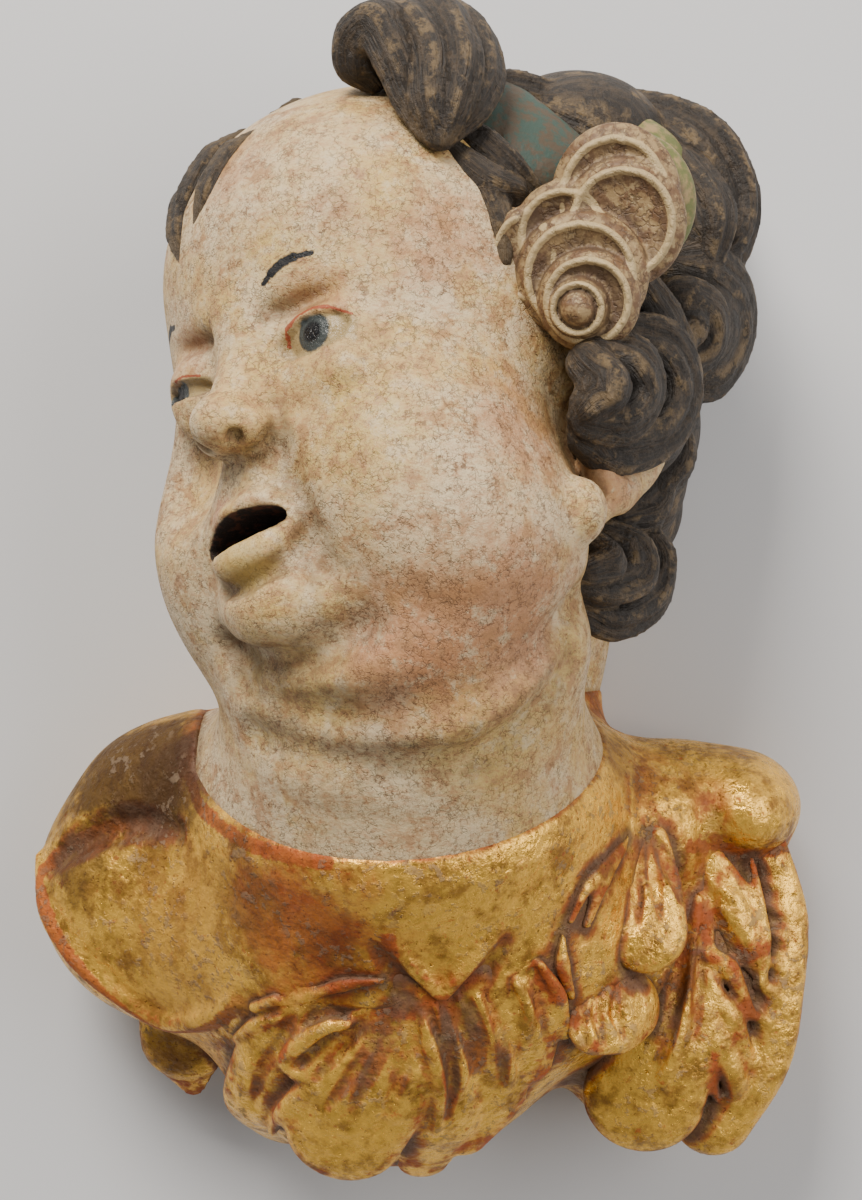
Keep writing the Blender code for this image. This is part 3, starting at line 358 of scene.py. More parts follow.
def head_steps():
    """The head's large masses, and the features carved on them."""
    masses = [
        head_ball(SKULL_AT, SKULL),
        head_ball((0, -15, 26), (30, 25, 24), soft=16),  # forehead
        head_ball((0, -11, -5), (30.5, 27, 28), soft=14),  # face
        *mirrored(head_ball, (18.5, -18, -21), (19, 19, 20), soft=12),  # cheeks
        *mirrored(head_ball, (20, -7, -32), (19, 22, 17), turn=(20, 0, 0), soft=14),  # jowls
        head_ball((0, -28, -24), (13, 11, 12), soft=10),  # muzzle
        head_ball((-0.5, -31.5, -40.5), (10.5, 9.5, 8.5), soft=9),  # chin
        head_ball((1, -8, -42), (29, 26, 14), turn=(28, 0, 0), soft=5),  # double chin
        head_ball((2, -1, -50.5), (29, 26, 12), turn=(28, 0, 0), soft=3),  # roll of the throat
        head_roll([(0, -36, 8), (0, -38, 0), (0, -43, -10)], [4.5, 4.2, 4.6], soft=6),  # bridge of the nose
        head_ball((0, -45.5, -11.6), (5.0, 4.9, 4.5), soft=2.5),  # tip of the nose
        *mirrored(head_ball, (4.1, -42, -12.7), (3.1, 4.4, 3.1), soft=1.8),  # wings of the nose
    ]
    hollows = [
        *mirrored(head_ball, (15.5, -46, 2), (9, 10, 7), soft=6),  # eye hollows
        *mirrored(head_ball, (3.7, -45.8, -15.2), (1.4, 1.8, 1.9), soft=0.5),  # nostrils
        head_ball((-20, -38, -12), (9, 8, 10), soft=9),  # beside the nose, on the far side
    ]
    eye = (14.2, -29.8, 1.7)
    sockets = [
        *mirrored(head_ball, eye, (10.2, 9.7, 8.6), soft=2.0),  # lids
        head_ball((14.5, -36.2, -5.2), (7, 2.0, 2.0), soft=5),  # fold under the near eye
        head_ball((-12.5, -35.2, -5.2), (5, 1.6, 1.6), soft=6),  # and under the far eye
    ]
    slits = [
        # the openings between the near lids and the far lids, and the crease over each upper lid
        head_ball((15.2, -39.5, 1.5), (8.4, 5.8, 3.5), turn=(0, -9, 0), soft=0.4),
        head_ball((-15.8, -39.0, 0.4), (7.4, 5.8, 1.5), turn=(0, 9, 0), soft=0.5),
        *mirrored(head_ball, (15.2, -38.8, 8.2), (8.5, 2.6, 1.0), turn=(0, -6, 0), soft=2.6),
    ]
    eyes = mirrored(head_ball, eye, (8.3, 8.0, 8.0), soft=0.2)
    upper_lip = [(-11.5, -35.5, -29.6), (-6, -39.5, -26.2), (-1.2, -41, -25.6), (3.6, -40, -24.8),
                 (8.2, -37, -27.4)]
    lower_lip = [(-11, -35.8, -31.2), (-6, -39.4, -33.6), (-1.2, -40.6, -33.7), (3.6, -39.8, -32.4),
                 (7.8, -36.8, -29.2)]
    lips = [head_roll(upper_lip, [0.8, 1.7, 1.7, 1.7, 0.8], soft=2.5),
            head_roll(lower_lip, [0.9, 2.4, 2.7, 2.4, 0.9], soft=2.2)]
    lip_fold = [head_roll([(-8, -37.5, -37.6), (-1, -40, -38.4), (7, -38.3, -36)], [0.5, 1.1, 0.5], soft=3)]
    cheek_fold = [roll(laid([(-25.5, -100, 25), (-24, -100, 20.5), (-22.5, -98, 16), (-20.5, -98, 11),
                             (-18, -98, 5.5)], added(masses)), [0.3, 0.9, 1.0, 0.8, 0.2], soft=6)]
    under_chin = [(-33.5, -90, -8), (-30.5, -92, -10), (-26, -94, -11), (-20.5, -96, -10.5),
                  (-16, -97, -7.5), (-10.5, -98, -4.5)]
    chin_fold = [roll(laid(under_chin, added(masses)), [0.4, 1.2, 1.5, 1.5, 1.0, 0.3], soft=7)]
    ground = added(masses) + bust_steps()
    jaw = [(-33.5, -88, -15), (-28, -90, -18), (-20, -92, -19.5), (-10, -94, -20), (1.5, -93, -18),
           (13, -88, -13), (21, -80, -6), (25, -72, 0)]
    throat = [(-30.5, -80, -23.5), (-22, -82, -26.5), (-13.5, -84, -28), (-3.5, -85, -28.5),
              (8, -82, -26.5), (18.5, -76, -19), (24.5, -68, -11)]
    folds = [roll(laid(jaw, ground), [0.4, 1.0, 1.7, 2.0, 2.0, 1.7, 1.2, 0.5], soft=7),
             roll(laid(throat, ground), [0.3, 0.8, 1.3, 1.6, 1.6, 1.2, 0.5], soft=7)]
    details = taken(hollows + chin_fold + folds + cheek_fold) + added(sockets) + taken(slits)
    details += added(eyes + lips) + taken([MOUTH] + lip_fold)
    return added(masses), details


def bust_steps():
    """The neck, the breast and the ground that the wings are carved from."""
    masses = [
        ball((-5, -36, -42), (41, 30, 34), soft=8),  # neck
        roll([(-4, -58, -10), (-5, -48, -32)], [31, 33], soft=12),  # front of the neck
        ball((-3, -28, -66), (48, 32, 30), soft=14),  # breast
        ball((-47, -22, -56), (29, 20, 27), soft=12),  # left wing's cap
        ball((-38, -24, -36), (24, 16, 12), soft=12),  # top of that cap
        ball((40, -20, -42), (30, 16, 13), soft=14),  # right shoulder
        ball((47, -20, -72), (26, 16, 34), soft=8),  # ground of the right wing
        ball((4, -6, 8), (34, 26, 62), soft=10),  # back of the block
        ball((-9, -24, -89), (29, 25, 20), soft=10),  # ground of the middle feathers
    ]
    return added(masses)


def ear_steps():
    """The near ear shows its rim and its lobe below the hair."""
    place = Place(HEAD.axes, (31, -72, 25.5))
    ear = [ball((0, 0, 0), (4.5, 9, 11), turn=(0, 0, 12), soft=2, place=place),
           ball((25, -83, 15), (4.6, 4.6, 5.6), soft=2.5),
           roll([(26, -80, 13), (31, -74, 17), (37, -66, 21.5), (40.5, -60, 27.5), (41.5, -58, 33.5)],
                [2.4, 2.2, 2.4, 2.4, 2.2], soft=1.5)]
    shell = [ball((6, 0, -1), (4, 6.5, 7), turn=(0, 0, 12), soft=1.5, place=place)]
    return added(ear) + taken(shell)


NECKLINE = Vector((0.053, 0.444, -1)).normalized()
NECKLINE_AT = (-5.3, -78.7, -43.9)
CAPE_THICK = 1.5
# The cape climbs the neck beyond this on the left, and nowhere above this height.
SHOULDER_SIDE, SHOULDER_TOP = -43.5, -18


def past_neckline(points):
    """How far below the neckline the points lie."""
    past = (points - NECKLINE_AT) @ np.array(NECKLINE)
    past = np.maximum(past, SHOULDER_SIDE - points[:, 0])
    return np.minimum(past, SHOULDER_TOP - points[:, 2])


def cape(under):
    """The bust grown by the thickness of the cape, below the neckline."""

    def depth(points):
        past = past_neckline(points)
        body = field_of(under, points) - CAPE_THICK * np.clip(0.3 + past / 8, 0.3, 1)
        return -soft_join(-body, past, 1.6)

    low = np.min([form.low for _, form in under], axis=0) - CAPE_THICK
    high = np.max([form.high for _, form in under], axis=0) + CAPE_THICK
    return Form(depth, low, high)


BELOW_NECKLINE = 5.0  # how far the breast runs on under the cape


class Paint:
    """Fills in a node tree. Each call adds one node and gives back what comes out of it."""

    def __init__(self, tree):
        self.tree = tree

    def node(self, kind, inputs, out=0, **settings):
        made = self.tree.nodes.new(kind)
        for name, value in settings.items():
            setattr(made, name, value)
        for key, value in inputs.items():
            if isinstance(value, bpy.types.NodeSocket):
                self.tree.links.new(value, made.inputs[key])
            else:
                made.inputs[key].default_value = value
        return made.outputs[out]

    def maths(self, operation, *values):
        return self.node("ShaderNodeMath", dict(enumerate(values)), operation=operation)

    def product(self, *values):
        total = values[0]
        for value in values[1:]:
            total = self.maths("MULTIPLY", total, value)
        return total

    def vector(self, operation, *values, out=0):
        return self.node("ShaderNodeVectorMath", dict(enumerate(values)), out, operation=operation)

    def scaled(self, at, by):
        return self.node("ShaderNodeVectorMath", {0: at, 3: by}, operation="SCALE")

    def mix(self, factor, a, b):
        return self.node("ShaderNodeMix", {0: factor, 6: a, 7: b}, 2, data_type="RGBA")

    def noise(self, at, scale, detail=3.0, rough=0.55, out=0):
        return self.node("ShaderNodeTexNoise",
                         {"Vector": at, "Scale": scale, "Detail": detail, "Roughness": rough}, out)

    def cells(self, at, scale):
        """How far the point lies from the edges of small cells."""
        return self.node("ShaderNodeTexVoronoi", {"Vector": at, "Scale": scale},
                         feature="DISTANCE_TO_EDGE")

    def step(self, value, low, high, to_low=0.0, to_high=1.0):
        inputs = {"Value": value, "From Min": low, "From Max": high, "To Min": to_low, "To Max": to_high}
        return self.node("ShaderNodeMapRange", inputs, interpolation_type="SMOOTHSTEP")

    def mark(self, name, out=2):
        return self.node("ShaderNodeAttribute", {}, out, attribute_name=name)

    def place(self):
        """Where on the carving the point lies, in millimetres."""
        return self.scaled(self.node("ShaderNodeTexCoord", {}, 3), 1000.0)

    def bump(self, height, strength, distance):
        """Normals that follow this height."""
        return self.node("ShaderNodeBump", {"Height": height, "Strength": strength, "Distance": distance})

    def shaken(self, at, scale, amount):
        """The place moved a little this way and that, so that no line runs clean."""
        wander = self.vector("SUBTRACT", self.noise(at, scale, 2.0, out=1), (0.5, 0.5, 0.5))
        return self.vector("ADD", at, self.scaled(wander, amount))

    def placed(self, group, **inputs):
        """The mask that an effect gives with these inputs."""
        made = self.tree.nodes.new("ShaderNodeGroup")
        made.node_tree = group
        for key, value in inputs.items():
            socket = made.inputs[key.replace("_", " ").capitalize()]
            if isinstance(value, bpy.types.NodeSocket):
                self.tree.links.new(value, socket)
            else:
                socket.default_value = value
        return made.outputs[0]


KINDS = {"v": "NodeSocketVector", "f": "NodeSocketFloat"}


def effect(name, work, **inputs):
    """One effect as a node group that gives a mask. inputs are its sockets, each v or f, and work
    fills it in."""
    tree = bpy.data.node_groups.new(name, "ShaderNodeTree")
    for label, kind in inputs.items():
        tree.interface.new_socket(label.capitalize(), in_out="INPUT", socket_type=KINDS[kind])
    tree.interface.new_socket("Mask", in_out="OUTPUT", socket_type=KINDS["f"])
    entry = tree.nodes.new("NodeGroupInput")
    leave = tree.nodes.new("NodeGroupOutput")
    tree.links.new(work(Paint(tree), *entry.outputs[: len(inputs)]), leave.inputs[0])
    return tree


def finish_of(name, work):
    """A material: work is given its Paint and the Principled shader, and sets what that shader shows."""
    made = bpy.data.materials.new(name)
    made.use_nodes = True
    work(Paint(made.node_tree), made.node_tree.nodes["Principled BSDF"])
    return made


def show(paint, shader, **inputs):
    """Sets what the shader shows, each of its sockets by name."""
    for key, value in inputs.items():
        socket = shader.inputs[key.replace("_", " ").title()]
        if isinstance(value, bpy.types.NodeSocket):
            paint.tree.links.new(value, socket)
        else:
            socket.default_value = value


def crackle_work(p, at, size, width, cover):
    """Fine cracks: the edges of small cells, broken into short runs and there only in patches."""
    moved = p.shaken(at, p.maths("DIVIDE", 1.2, size), p.product(size, 1.3))
    near = p.cells(moved, p.maths("DIVIDE", 1.0, size))
    line = p.step(near, width, p.product(width, 0.2))
    broken = p.step(p.noise(at, p.maths("DIVIDE", 0.7, size), 2.0, 0.6), 0.42, 0.56)
    where = p.noise(at, p.maths("DIVIDE", 0.12, size), 3.0, 0.6)
    there = p.step(where, p.maths("SUBTRACT", 0.72, cover), p.maths("SUBTRACT", 0.82, cover))
    return p.product(line, broken, there)


def shade_and_grime_work(p, at, hollow, amount):
    """Dirt and painted shade that lie in the hollows, and loose specks of dirt outside them."""
    cloud = p.noise(at, 0.35, 5.0, 0.65)
    lain = p.step(p.maths("ADD", hollow, p.product(p.maths("SUBTRACT", cloud, 0.5), 0.9)), 0.18, 0.75)
    specks = p.product(p.step(p.noise(at, 1.4, 4.0, 0.7), 0.62, 0.72),
                       p.step(p.noise(at, 0.12, 3.0), 0.48, 0.62))
    return p.product(p.maths("MAXIMUM", lain, p.product(specks, 0.8)), amount)


def rubbed_work(p, at, edge, amount):
    """Where the rounds and rims are rubbed through."""
    cloud = p.noise(at, 0.6, 4.0, 0.65)
    worn = p.maths("ADD", edge, p.product(p.maths("SUBTRACT", cloud, 0.5), 0.8))
    return p.product(p.step(worn, 0.45, 0.75), amount)


def patch_work(p, at, centre, size, ragged):
    """A ragged round patch of this half width, fading outward."""
    far = p.maths("DIVIDE", p.vector("DISTANCE", at, centre, out=1), size)
    cloud = p.product(p.maths("SUBTRACT", p.noise(at, p.maths("DIVIDE", 3.0, size), 4.0, 0.65), 0.5),
                      ragged)
    return p.step(p.maths("ADD", far, cloud), 1.0, 0.45)


def stroke_work(p, at, start, end, width):
    """A brush stroke from start to end."""
    run = p.vector("SUBTRACT", end, start)
    off = p.vector("SUBTRACT", at, start)
    share = p.maths("DIVIDE", p.vector("DOT_PRODUCT", off, run, out=1),
                    p.vector("DOT_PRODUCT", run, run, out=1))
    held = p.node("ShaderNodeClamp", {0: share})
    far = p.vector("DISTANCE", off, p.scaled(run, held), out=1)
    return p.step(far, width, p.product(width, 0.6))


def sawn_work(p, at):
    """The sawn back, which is left bare."""
    return p.step(p.node("ShaderNodeSeparateXYZ", {0: at}, 1), -0.8, -0.4)


CRACKLE = effect("crackle", crackle_work, place="v", size="f", width="f", cover="f")
# darkens the hollows with dirt and with painted shade
SHADE_AND_GRIME = effect("shade_and_grime", shade_and_grime_work, place="v", hollow="f", amount="f")
RUBBED = effect("rubbed", rubbed_work, place="v", edge="f", amount="f")
PATCH = effect("patch", patch_work, place="v", centre="v", size="f", ragged="f")
STROKE = effect("stroke", stroke_work, place="v", start="v", end="v", width="f")
SAWN = effect("sawn", sawn_work, place="v")

CREAM = (0.58, 0.40, 0.155, 1)
ROSY = (0.44, 0.19, 0.085, 1)
# pale chalky paint, also laid as painted highlight on the cheeks and forehead
CHALK_AND_HIGHLIGHT = (0.64, 0.51, 0.31, 1)
YELLOWED = (0.56, 0.39, 0.10, 1)
# dark brown of old dirt, also laid in the hollows as painted shade
OLD_DIRT_AND_SHADE = (0.075, 0.042, 0.022, 1)
BARE_WOOD = (0.30, 0.17, 0.085, 1)
EYE_DARK = (0.006, 0.006, 0.007, 1)
IRIS = (0.045, 0.052, 0.05, 1)
EYE_WHITE = (0.36, 0.26, 0.12, 1)
WORN_SKIN = (0.36, 0.185, 0.085, 1)
FLAKE = (0.17, 0.085, 0.04, 1)
LID_RED = (0.30, 0.045, 0.018, 1)
MOUTH_SHADE = (0.020, 0.011, 0.007, 1)
MOUTH_RED = (0.09, 0.032, 0.015, 1)

# blushes, paler patches and painted highlights: colour, centre on the head, half width, how much of it
# shows
FLESH_PATCHES = [
    (ROSY, (6.5, -92, -3.5), 24, 0.8),
    (ROSY, (18, -92, 29.5), 15, 0.6),
    (ROSY, (-5, -96, -14.5), 14, 0.55),
    (ROSY, (-37, -76, 77), 12, 0.45),
    (ROSY, (3, -90, 61), 13, 0.5),
    (ROSY, (-23, -104, -4.5), 8, 0.55),
    (ROSY, (30.5, -76, 22.5), 10, 0.6),
    # painted highlight on the near cheek
    (CHALK_AND_HIGHLIGHT, (0, -98, 16), 17, 0.75),
    # painted highlight on the middle of the forehead
    (CHALK_AND_HIGHLIGHT, (-22, -84, 75.5), 15, 0.5),
    (CHALK_AND_HIGHLIGHT, (-5.5, -74, -39.5), 22, 0.7),
    (CHALK_AND_HIGHLIGHT, (-35, -62, -34), 10, 0.7),
    (CHALK_AND_HIGHLIGHT, (-20.5, -104, 0), 9, 0.6),
    # painted highlight along the edge of the far cheek
    (CHALK_AND_HIGHLIGHT, (-41.5, -80, 3.5), 14, 0.5),
    (CHALK_AND_HIGHLIGHT, (21.5, -84, 33.5), 5, 0.5),
    (YELLOWED, (-29.5, -112, 17), 9, 0.85),
    (YELLOWED, (-30.5, -116, 27.5), 9, 0.8),
    (YELLOWED, (-28, -110, 7.5), 8, 0.8),
    (YELLOWED, (-11, -104, 28.5), 16, 0.6),
    (YELLOWED, (-26, -96, 55), 18, 0.5),
    (YELLOWED, (6.5, -84, -22), 16, 0.5),
    (YELLOWED, (24.5, -84, 14.5), 5, 0.9),
    (YELLOWED, (-6.5, -92, 70.5), 12, 0.45),
    (WORN_SKIN, (-35, -96, 36.5), 7, 0.5),
    (WORN_SKIN, (-16.5, -92, 65.5), 9, 0.35),
]


def flesh_work(p, shader):
    at = p.place()
    skin_tone = p.mix(p.step(p.noise(at, 0.06, 4.0, 0.6), 0.38, 0.62), CREAM, CHALK_AND_HIGHLIGHT)
    skin_tone = p.mix(p.step(p.noise(at, 0.11, 4.0, 0.65), 0.5, 0.64, 0.0, 0.7), skin_tone, YELLOWED)
    # the chalk patches on the near cheek, forehead and far cheek edge are painted highlights
    for colour, centre, size, share in FLESH_PATCHES:
        there = p.placed(PATCH, place=at, centre=centre, size=size, ragged=0.9)
        skin_tone = p.mix(p.product(there, share), skin_tone, colour)
    brushed = p.noise(p.vector("MULTIPLY", p.shaken(at, 0.2, 3.0), (0.5, 1.0, 2.2)), 0.9, 5.0, 0.75)
    skin_tone = p.mix(p.step(brushed, 0.42, 0.7, 0.0, 0.6), skin_tone, ROSY)
    mottled = p.noise(at, 0.22, 6.0, 0.74)
    skin_tone = p.mix(p.step(mottled, 0.49, 0.63, 0.0, 0.75), skin_tone, WORN_SKIN)
    skin_tone = p.mix(p.step(mottled, 0.48, 0.34, 0.0, 0.7), skin_tone, CHALK_AND_HIGHLIGHT)
    worn_here = p.step(p.noise(at, 0.06, 2.0), 0.42, 0.56)
    flaked = p.product(p.step(p.noise(at, 0.6, 5.0, 0.72), 0.6, 0.63), worn_here)
    skin_tone = p.mix(p.product(flaked, 0.7), skin_tone, FLAKE)
    speckled = p.step(p.noise(at, 0.15, 3.0), 0.36, 0.56)
    specks = p.product(p.step(p.noise(at, 1.9, 4.0, 0.75), 0.61, 0.66), speckled)
    cracks = p.placed(CRACKLE, place=at, size=1.5, width=0.08, cover=0.34)
    hair_cracks = p.placed(CRACKLE, place=at, size=0.65, width=0.12, cover=0.32)
    skin_tone = p.mix(p.product(hair_cracks, 0.6), skin_tone, FLAKE)
    fine = p.maths("MAXIMUM", p.product(cracks, 0.45), p.product(specks, 0.7))
    skin_tone = p.mix(fine, skin_tone, OLD_DIRT_AND_SHADE)
    # the hollows go dark brown, also where the cape meets the neck: dirt, and painted shade
    dirt_and_shade = p.placed(SHADE_AND_GRIME, place=at, hollow=p.mark("hollow"), amount=0.6)
    skin_tone = p.mix(dirt_and_shade, skin_tone, OLD_DIRT_AND_SHADE)
    skin_tone, wet = face_paint(p, p.mark("face", 1), skin_tone)
    flat_back = p.placed(SAWN, place=at)
    skin_tone = p.mix(flat_back, skin_tone, BARE_WOOD)
    rise = p.maths("ADD", p.product(cracks, -0.8), p.product(flaked, -0.8))
    rise = p.maths("ADD", rise, p.product(p.noise(at, 0.5, 5.0, 0.65), 1.6))
    bump = p.bump(rise, 0.45, 0.0005)
    rough = p.maths("ADD", p.step(p.noise(at, 0.3, 3.0), 0.3, 0.7, 0.45, 0.62), p.product(dirt_and_shade, 0.2))
    show(p, shader, base_color=skin_tone, roughness=p.maths("SUBTRACT", rough, p.product(wet, 0.3)),
         normal=bump)
    shader.inputs["Specular IOR Level"].default_value = 0.35


# The eyes look to the viewer's left. Each is drawn on the face as seen from straight ahead, across and up:
# the middle of the opening, its half height, the pupil, the line under the upper lid and the brow.
EYES = [((15.2, 1.5), 3.7, (14.7, 2.0),
         [(8.4, 1.4), (9.6, 3.8), (12.0, 5.4), (15.0, 6.0), (18.4, 5.4), (22.0, 3.4)],
         [(7.6, 11.9), (9.2, 13.3), (11.2, 14.5), (13.6, 15.1), (16.4, 15.2)]),
        ((-16.0, 0.4), 1.7, (-18.6, 0.5), [(-11.0, 1.6), (-15.0, 2.5), (-17.6, 2.4)],
         [(-19.0, 13.4), (-21.5, 14.2), (-24.5, 13.8), (-27.0, 12.0)])]
LOWER_LIP, UPPER_LIP = (-1, -40, -34), (-6, -39, -25)


def face_paint(p, face, tone):
    """The eyes, brows, lips and mouth over this tone, and how wet the paint looks."""
    flat_face = p.vector("MULTIPLY", face, (1.0, 0.0, 1.0))
    front = p.step(p.node("ShaderNodeSeparateXYZ", {0: face}, 1), -18.0, -24.0)
    loose = p.shaken(flat_face, 1.5, 0.45)
    scuffed = p.step(p.noise(flat_face, 2.5, 3.0), 0.26, 0.36)
    eyes = 0.0
    for middle, height, pupil, lid, brow in EYES:
        middle, pupil = (middle[0], 0, middle[1]), (pupil[0], 0, pupil[1])
        # rosy paint over each upper lid, which is also painted shade under the brow
        lid_pink_and_shade = p.placed(PATCH, place=loose, centre=(middle[0], 0, middle[2] + 6), size=8.0, ragged=0.6)
        tone = p.mix(p.product(lid_pink_and_shade, front, 0.3), tone, ROSY)
        opening = p.vector("MULTIPLY", p.vector("SUBTRACT", loose, middle), (0.12, 0.0, 1 / height))
        inside = p.product(p.step(p.vector("LENGTH", opening, out=1), 1.0, 0.8), front)
        tone = p.mix(inside, tone, EYE_WHITE)
        far = p.vector("DISTANCE", loose, pupil, out=1)
        tone = p.mix(p.product(p.step(far, 3.6, 3.0), inside), tone, IRIS)
        tone = p.mix(p.product(p.step(far, 2.2, 1.4), inside), tone, EYE_DARK)
        eyes = p.maths("MAXIMUM", eyes, inside)
        for line, width, colour, share in ((lid, 0.45, LID_RED, 0.85), (brow, 1.05, EYE_DARK, 1.0)):
            drawn = 0.0
            for k, (a, b) in enumerate(zip(line[:-1], line[1:])):
                start, end = (a[0], 0, a[1]), (b[0], 0, b[1])
                wide = width * (0.6 if k == 0 or k == len(line) - 2 else 1.0)
                drawn = p.maths("MAXIMUM", drawn,
                                p.placed(STROKE, place=loose, start=start, end=end, width=wide))
            tone = p.mix(p.product(drawn, scuffed, front, share), tone, colour)
    lip = p.placed(PATCH, place=face, centre=LOWER_LIP, size=7.0, ragged=1.0)
    tone = p.mix(p.product(lip, 0.5), tone, YELLOWED)
    lip = p.placed(PATCH, place=face, centre=UPPER_LIP, size=4.5, ragged=0.8)
    tone = p.mix(p.product(lip, 0.4), tone, LID_RED)
    # inside the mouth: near-black painted shade, streaked with dark red paint
    gape = p.step(p.mark("gape"), 0.3, 0.7)
    streak = p.mix(p.step(p.noise(face, 0.7, 4.0), 0.48, 0.64), MOUTH_SHADE, MOUTH_RED)
    tone = p.mix(gape, tone, streak)
    return tone, p.maths("SUBTRACT", eyes, p.product(gape, 0.5))


head_masses, head_details = head_steps()
bust = bust_steps()
cape_over = [("add", cape(bust))]
breast = head_masses + bust + head_details + ear_steps()
under_cape = endless(lambda points: BELOW_NECKLINE - past_neckline(points))
breast += taken([under_cape]) + SAWN_BACK
flesh = skin("flesh", breast, FLESH_GRAIN, around=cape_over)
mark(flesh, "face", (corners(flesh) - HEAD.origin) @ HEAD.axes)
mark(flesh, "gape", np.clip(1 - MOUTH.depth(corners(flesh)) / 0.7, 0, 1))
flesh.data.materials.append(finish_of("flesh_paint", flesh_work))
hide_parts("cherub")
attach(flesh, "root")

# Collar
# The shoulders are a smooth cape, oil gilded over red bole, with wings and feathers carved on it.
# The leaf is rubbed through to the red on the rims, dulled by grey-brown dirt on the flats, and darkened in
# the hollows with dirt and with painted shade.
CAPE_GRAIN = 0.9
FEATHER_GRAIN = 0.58
GOLD = (0.95, 0.54, 0.085, 1)
DULL_GOLD = (0.46, 0.235, 0.045, 1)
BOLE = (0.36, 0.075, 0.018, 1)
PATINA = (0.14, 0.052, 0.013, 1)
SOOT = (0.05, 0.022, 0.007, 1)
# dark red-brown of bole, also laid in the hollows as painted shade
DARK_BOLE_AND_SHADE = (0.08, 0.02, 0.009, 1)
# grey-brown dirt, also laid in the hollows as painted shade
GREY_DIRT_AND_SHADE = (0.20, 0.14, 0.09, 1)

# areas of the collar: colour, centre, half width, how much of it shows
GILT_PATCHES = [
    (BOLE, (-20, -62, -54.5), 22, 0.85),
    (DARK_BOLE_AND_SHADE, (-14.5, -60, -60), 14, 0.6),
    (PATINA, (-30, -58, -51.5), 14, 0.6),
    (SOOT, (-58, -38, -30), 24, 0.94),
    (SOOT, (-46, -46, -33), 15, 0.8),
    (SOOT, (-66, -34, -52), 11, 0.75),
    (SOOT, (-73, -24, -41.5), 11, 0.6),
    (BOLE, (1.5, -60, -66.5), 9, 0.6),
    (DULL_GOLD, (-43, -46, -63.5), 22, 0.5),
    (PATINA, (-51.5, -24, -89), 10, 0.7),
    (BOLE, (24, -50, -51.5), 9, 0.45),
    (BOLE, (60, -30, -47.5), 8, 0.6),
    (PATINA, (32, -40, -32), 12, 0.6),
    (PATINA, (61, -30, -76), 12, 0.45),
    (DARK_BOLE_AND_SHADE, (7, -56, -65.5), 9, 0.5),
]
BOLE_WIDE, BOLE_NEAR = 0.9, 1.4  # half width of a red line, and how far it fades beside it
# rims and creases where the red shows as a line, on the front
BOLE_LINES = [
    [(-76.5, -24, -54.5), (-72, -26, -64.5), (-64.5, -28, -73.5), (-56.5, -30, -80), (-49.5, -32, -82.5),
     (-41, -38, -79.5), (-35, -44, -73.5)],
    [(-75.5, -24, -52.5), (-69.5, -28, -47.5), (-61, -36, -43), (-54.5, -42, -42.5), (-49.5, -46, -44.5)],
    [(-47.5, -46, -27.5), (-43, -52, -36.5), (-41, -54, -38.5), (-33, -60, -42.5), (-26.5, -64, -44),
     (-18, -68, -45)],
    [(-7.5, -60, -59), (-5.5, -58, -65), (-2, -56, -69.5), (1.5, -54, -71), (5.5, -56, -69),
     (8.5, -58, -64.5)],
    [(49, -36, -46.5), (58, -30, -48), (66.5, -26, -48.5), (73.5, -20, -50)],
]


def feather(points, widths, flat=0.4, rib=1.0, soft=0.8, up=(0, -1, 0)):
    """A feather: a flat tongue, with a rib down its middle."""
    steps = added([roll(points, widths, soft=soft, flat=flat, up=up)])
    if rib:
        smooth = smooth_line(points)
        top = smooth + np.array(up, float) * (spread(widths, smooth) * flat)[:, None]
        steps += added([roll(top[::3], [rib * 1.3, rib, rib * 0.5], soft=0.8)])
    return steps


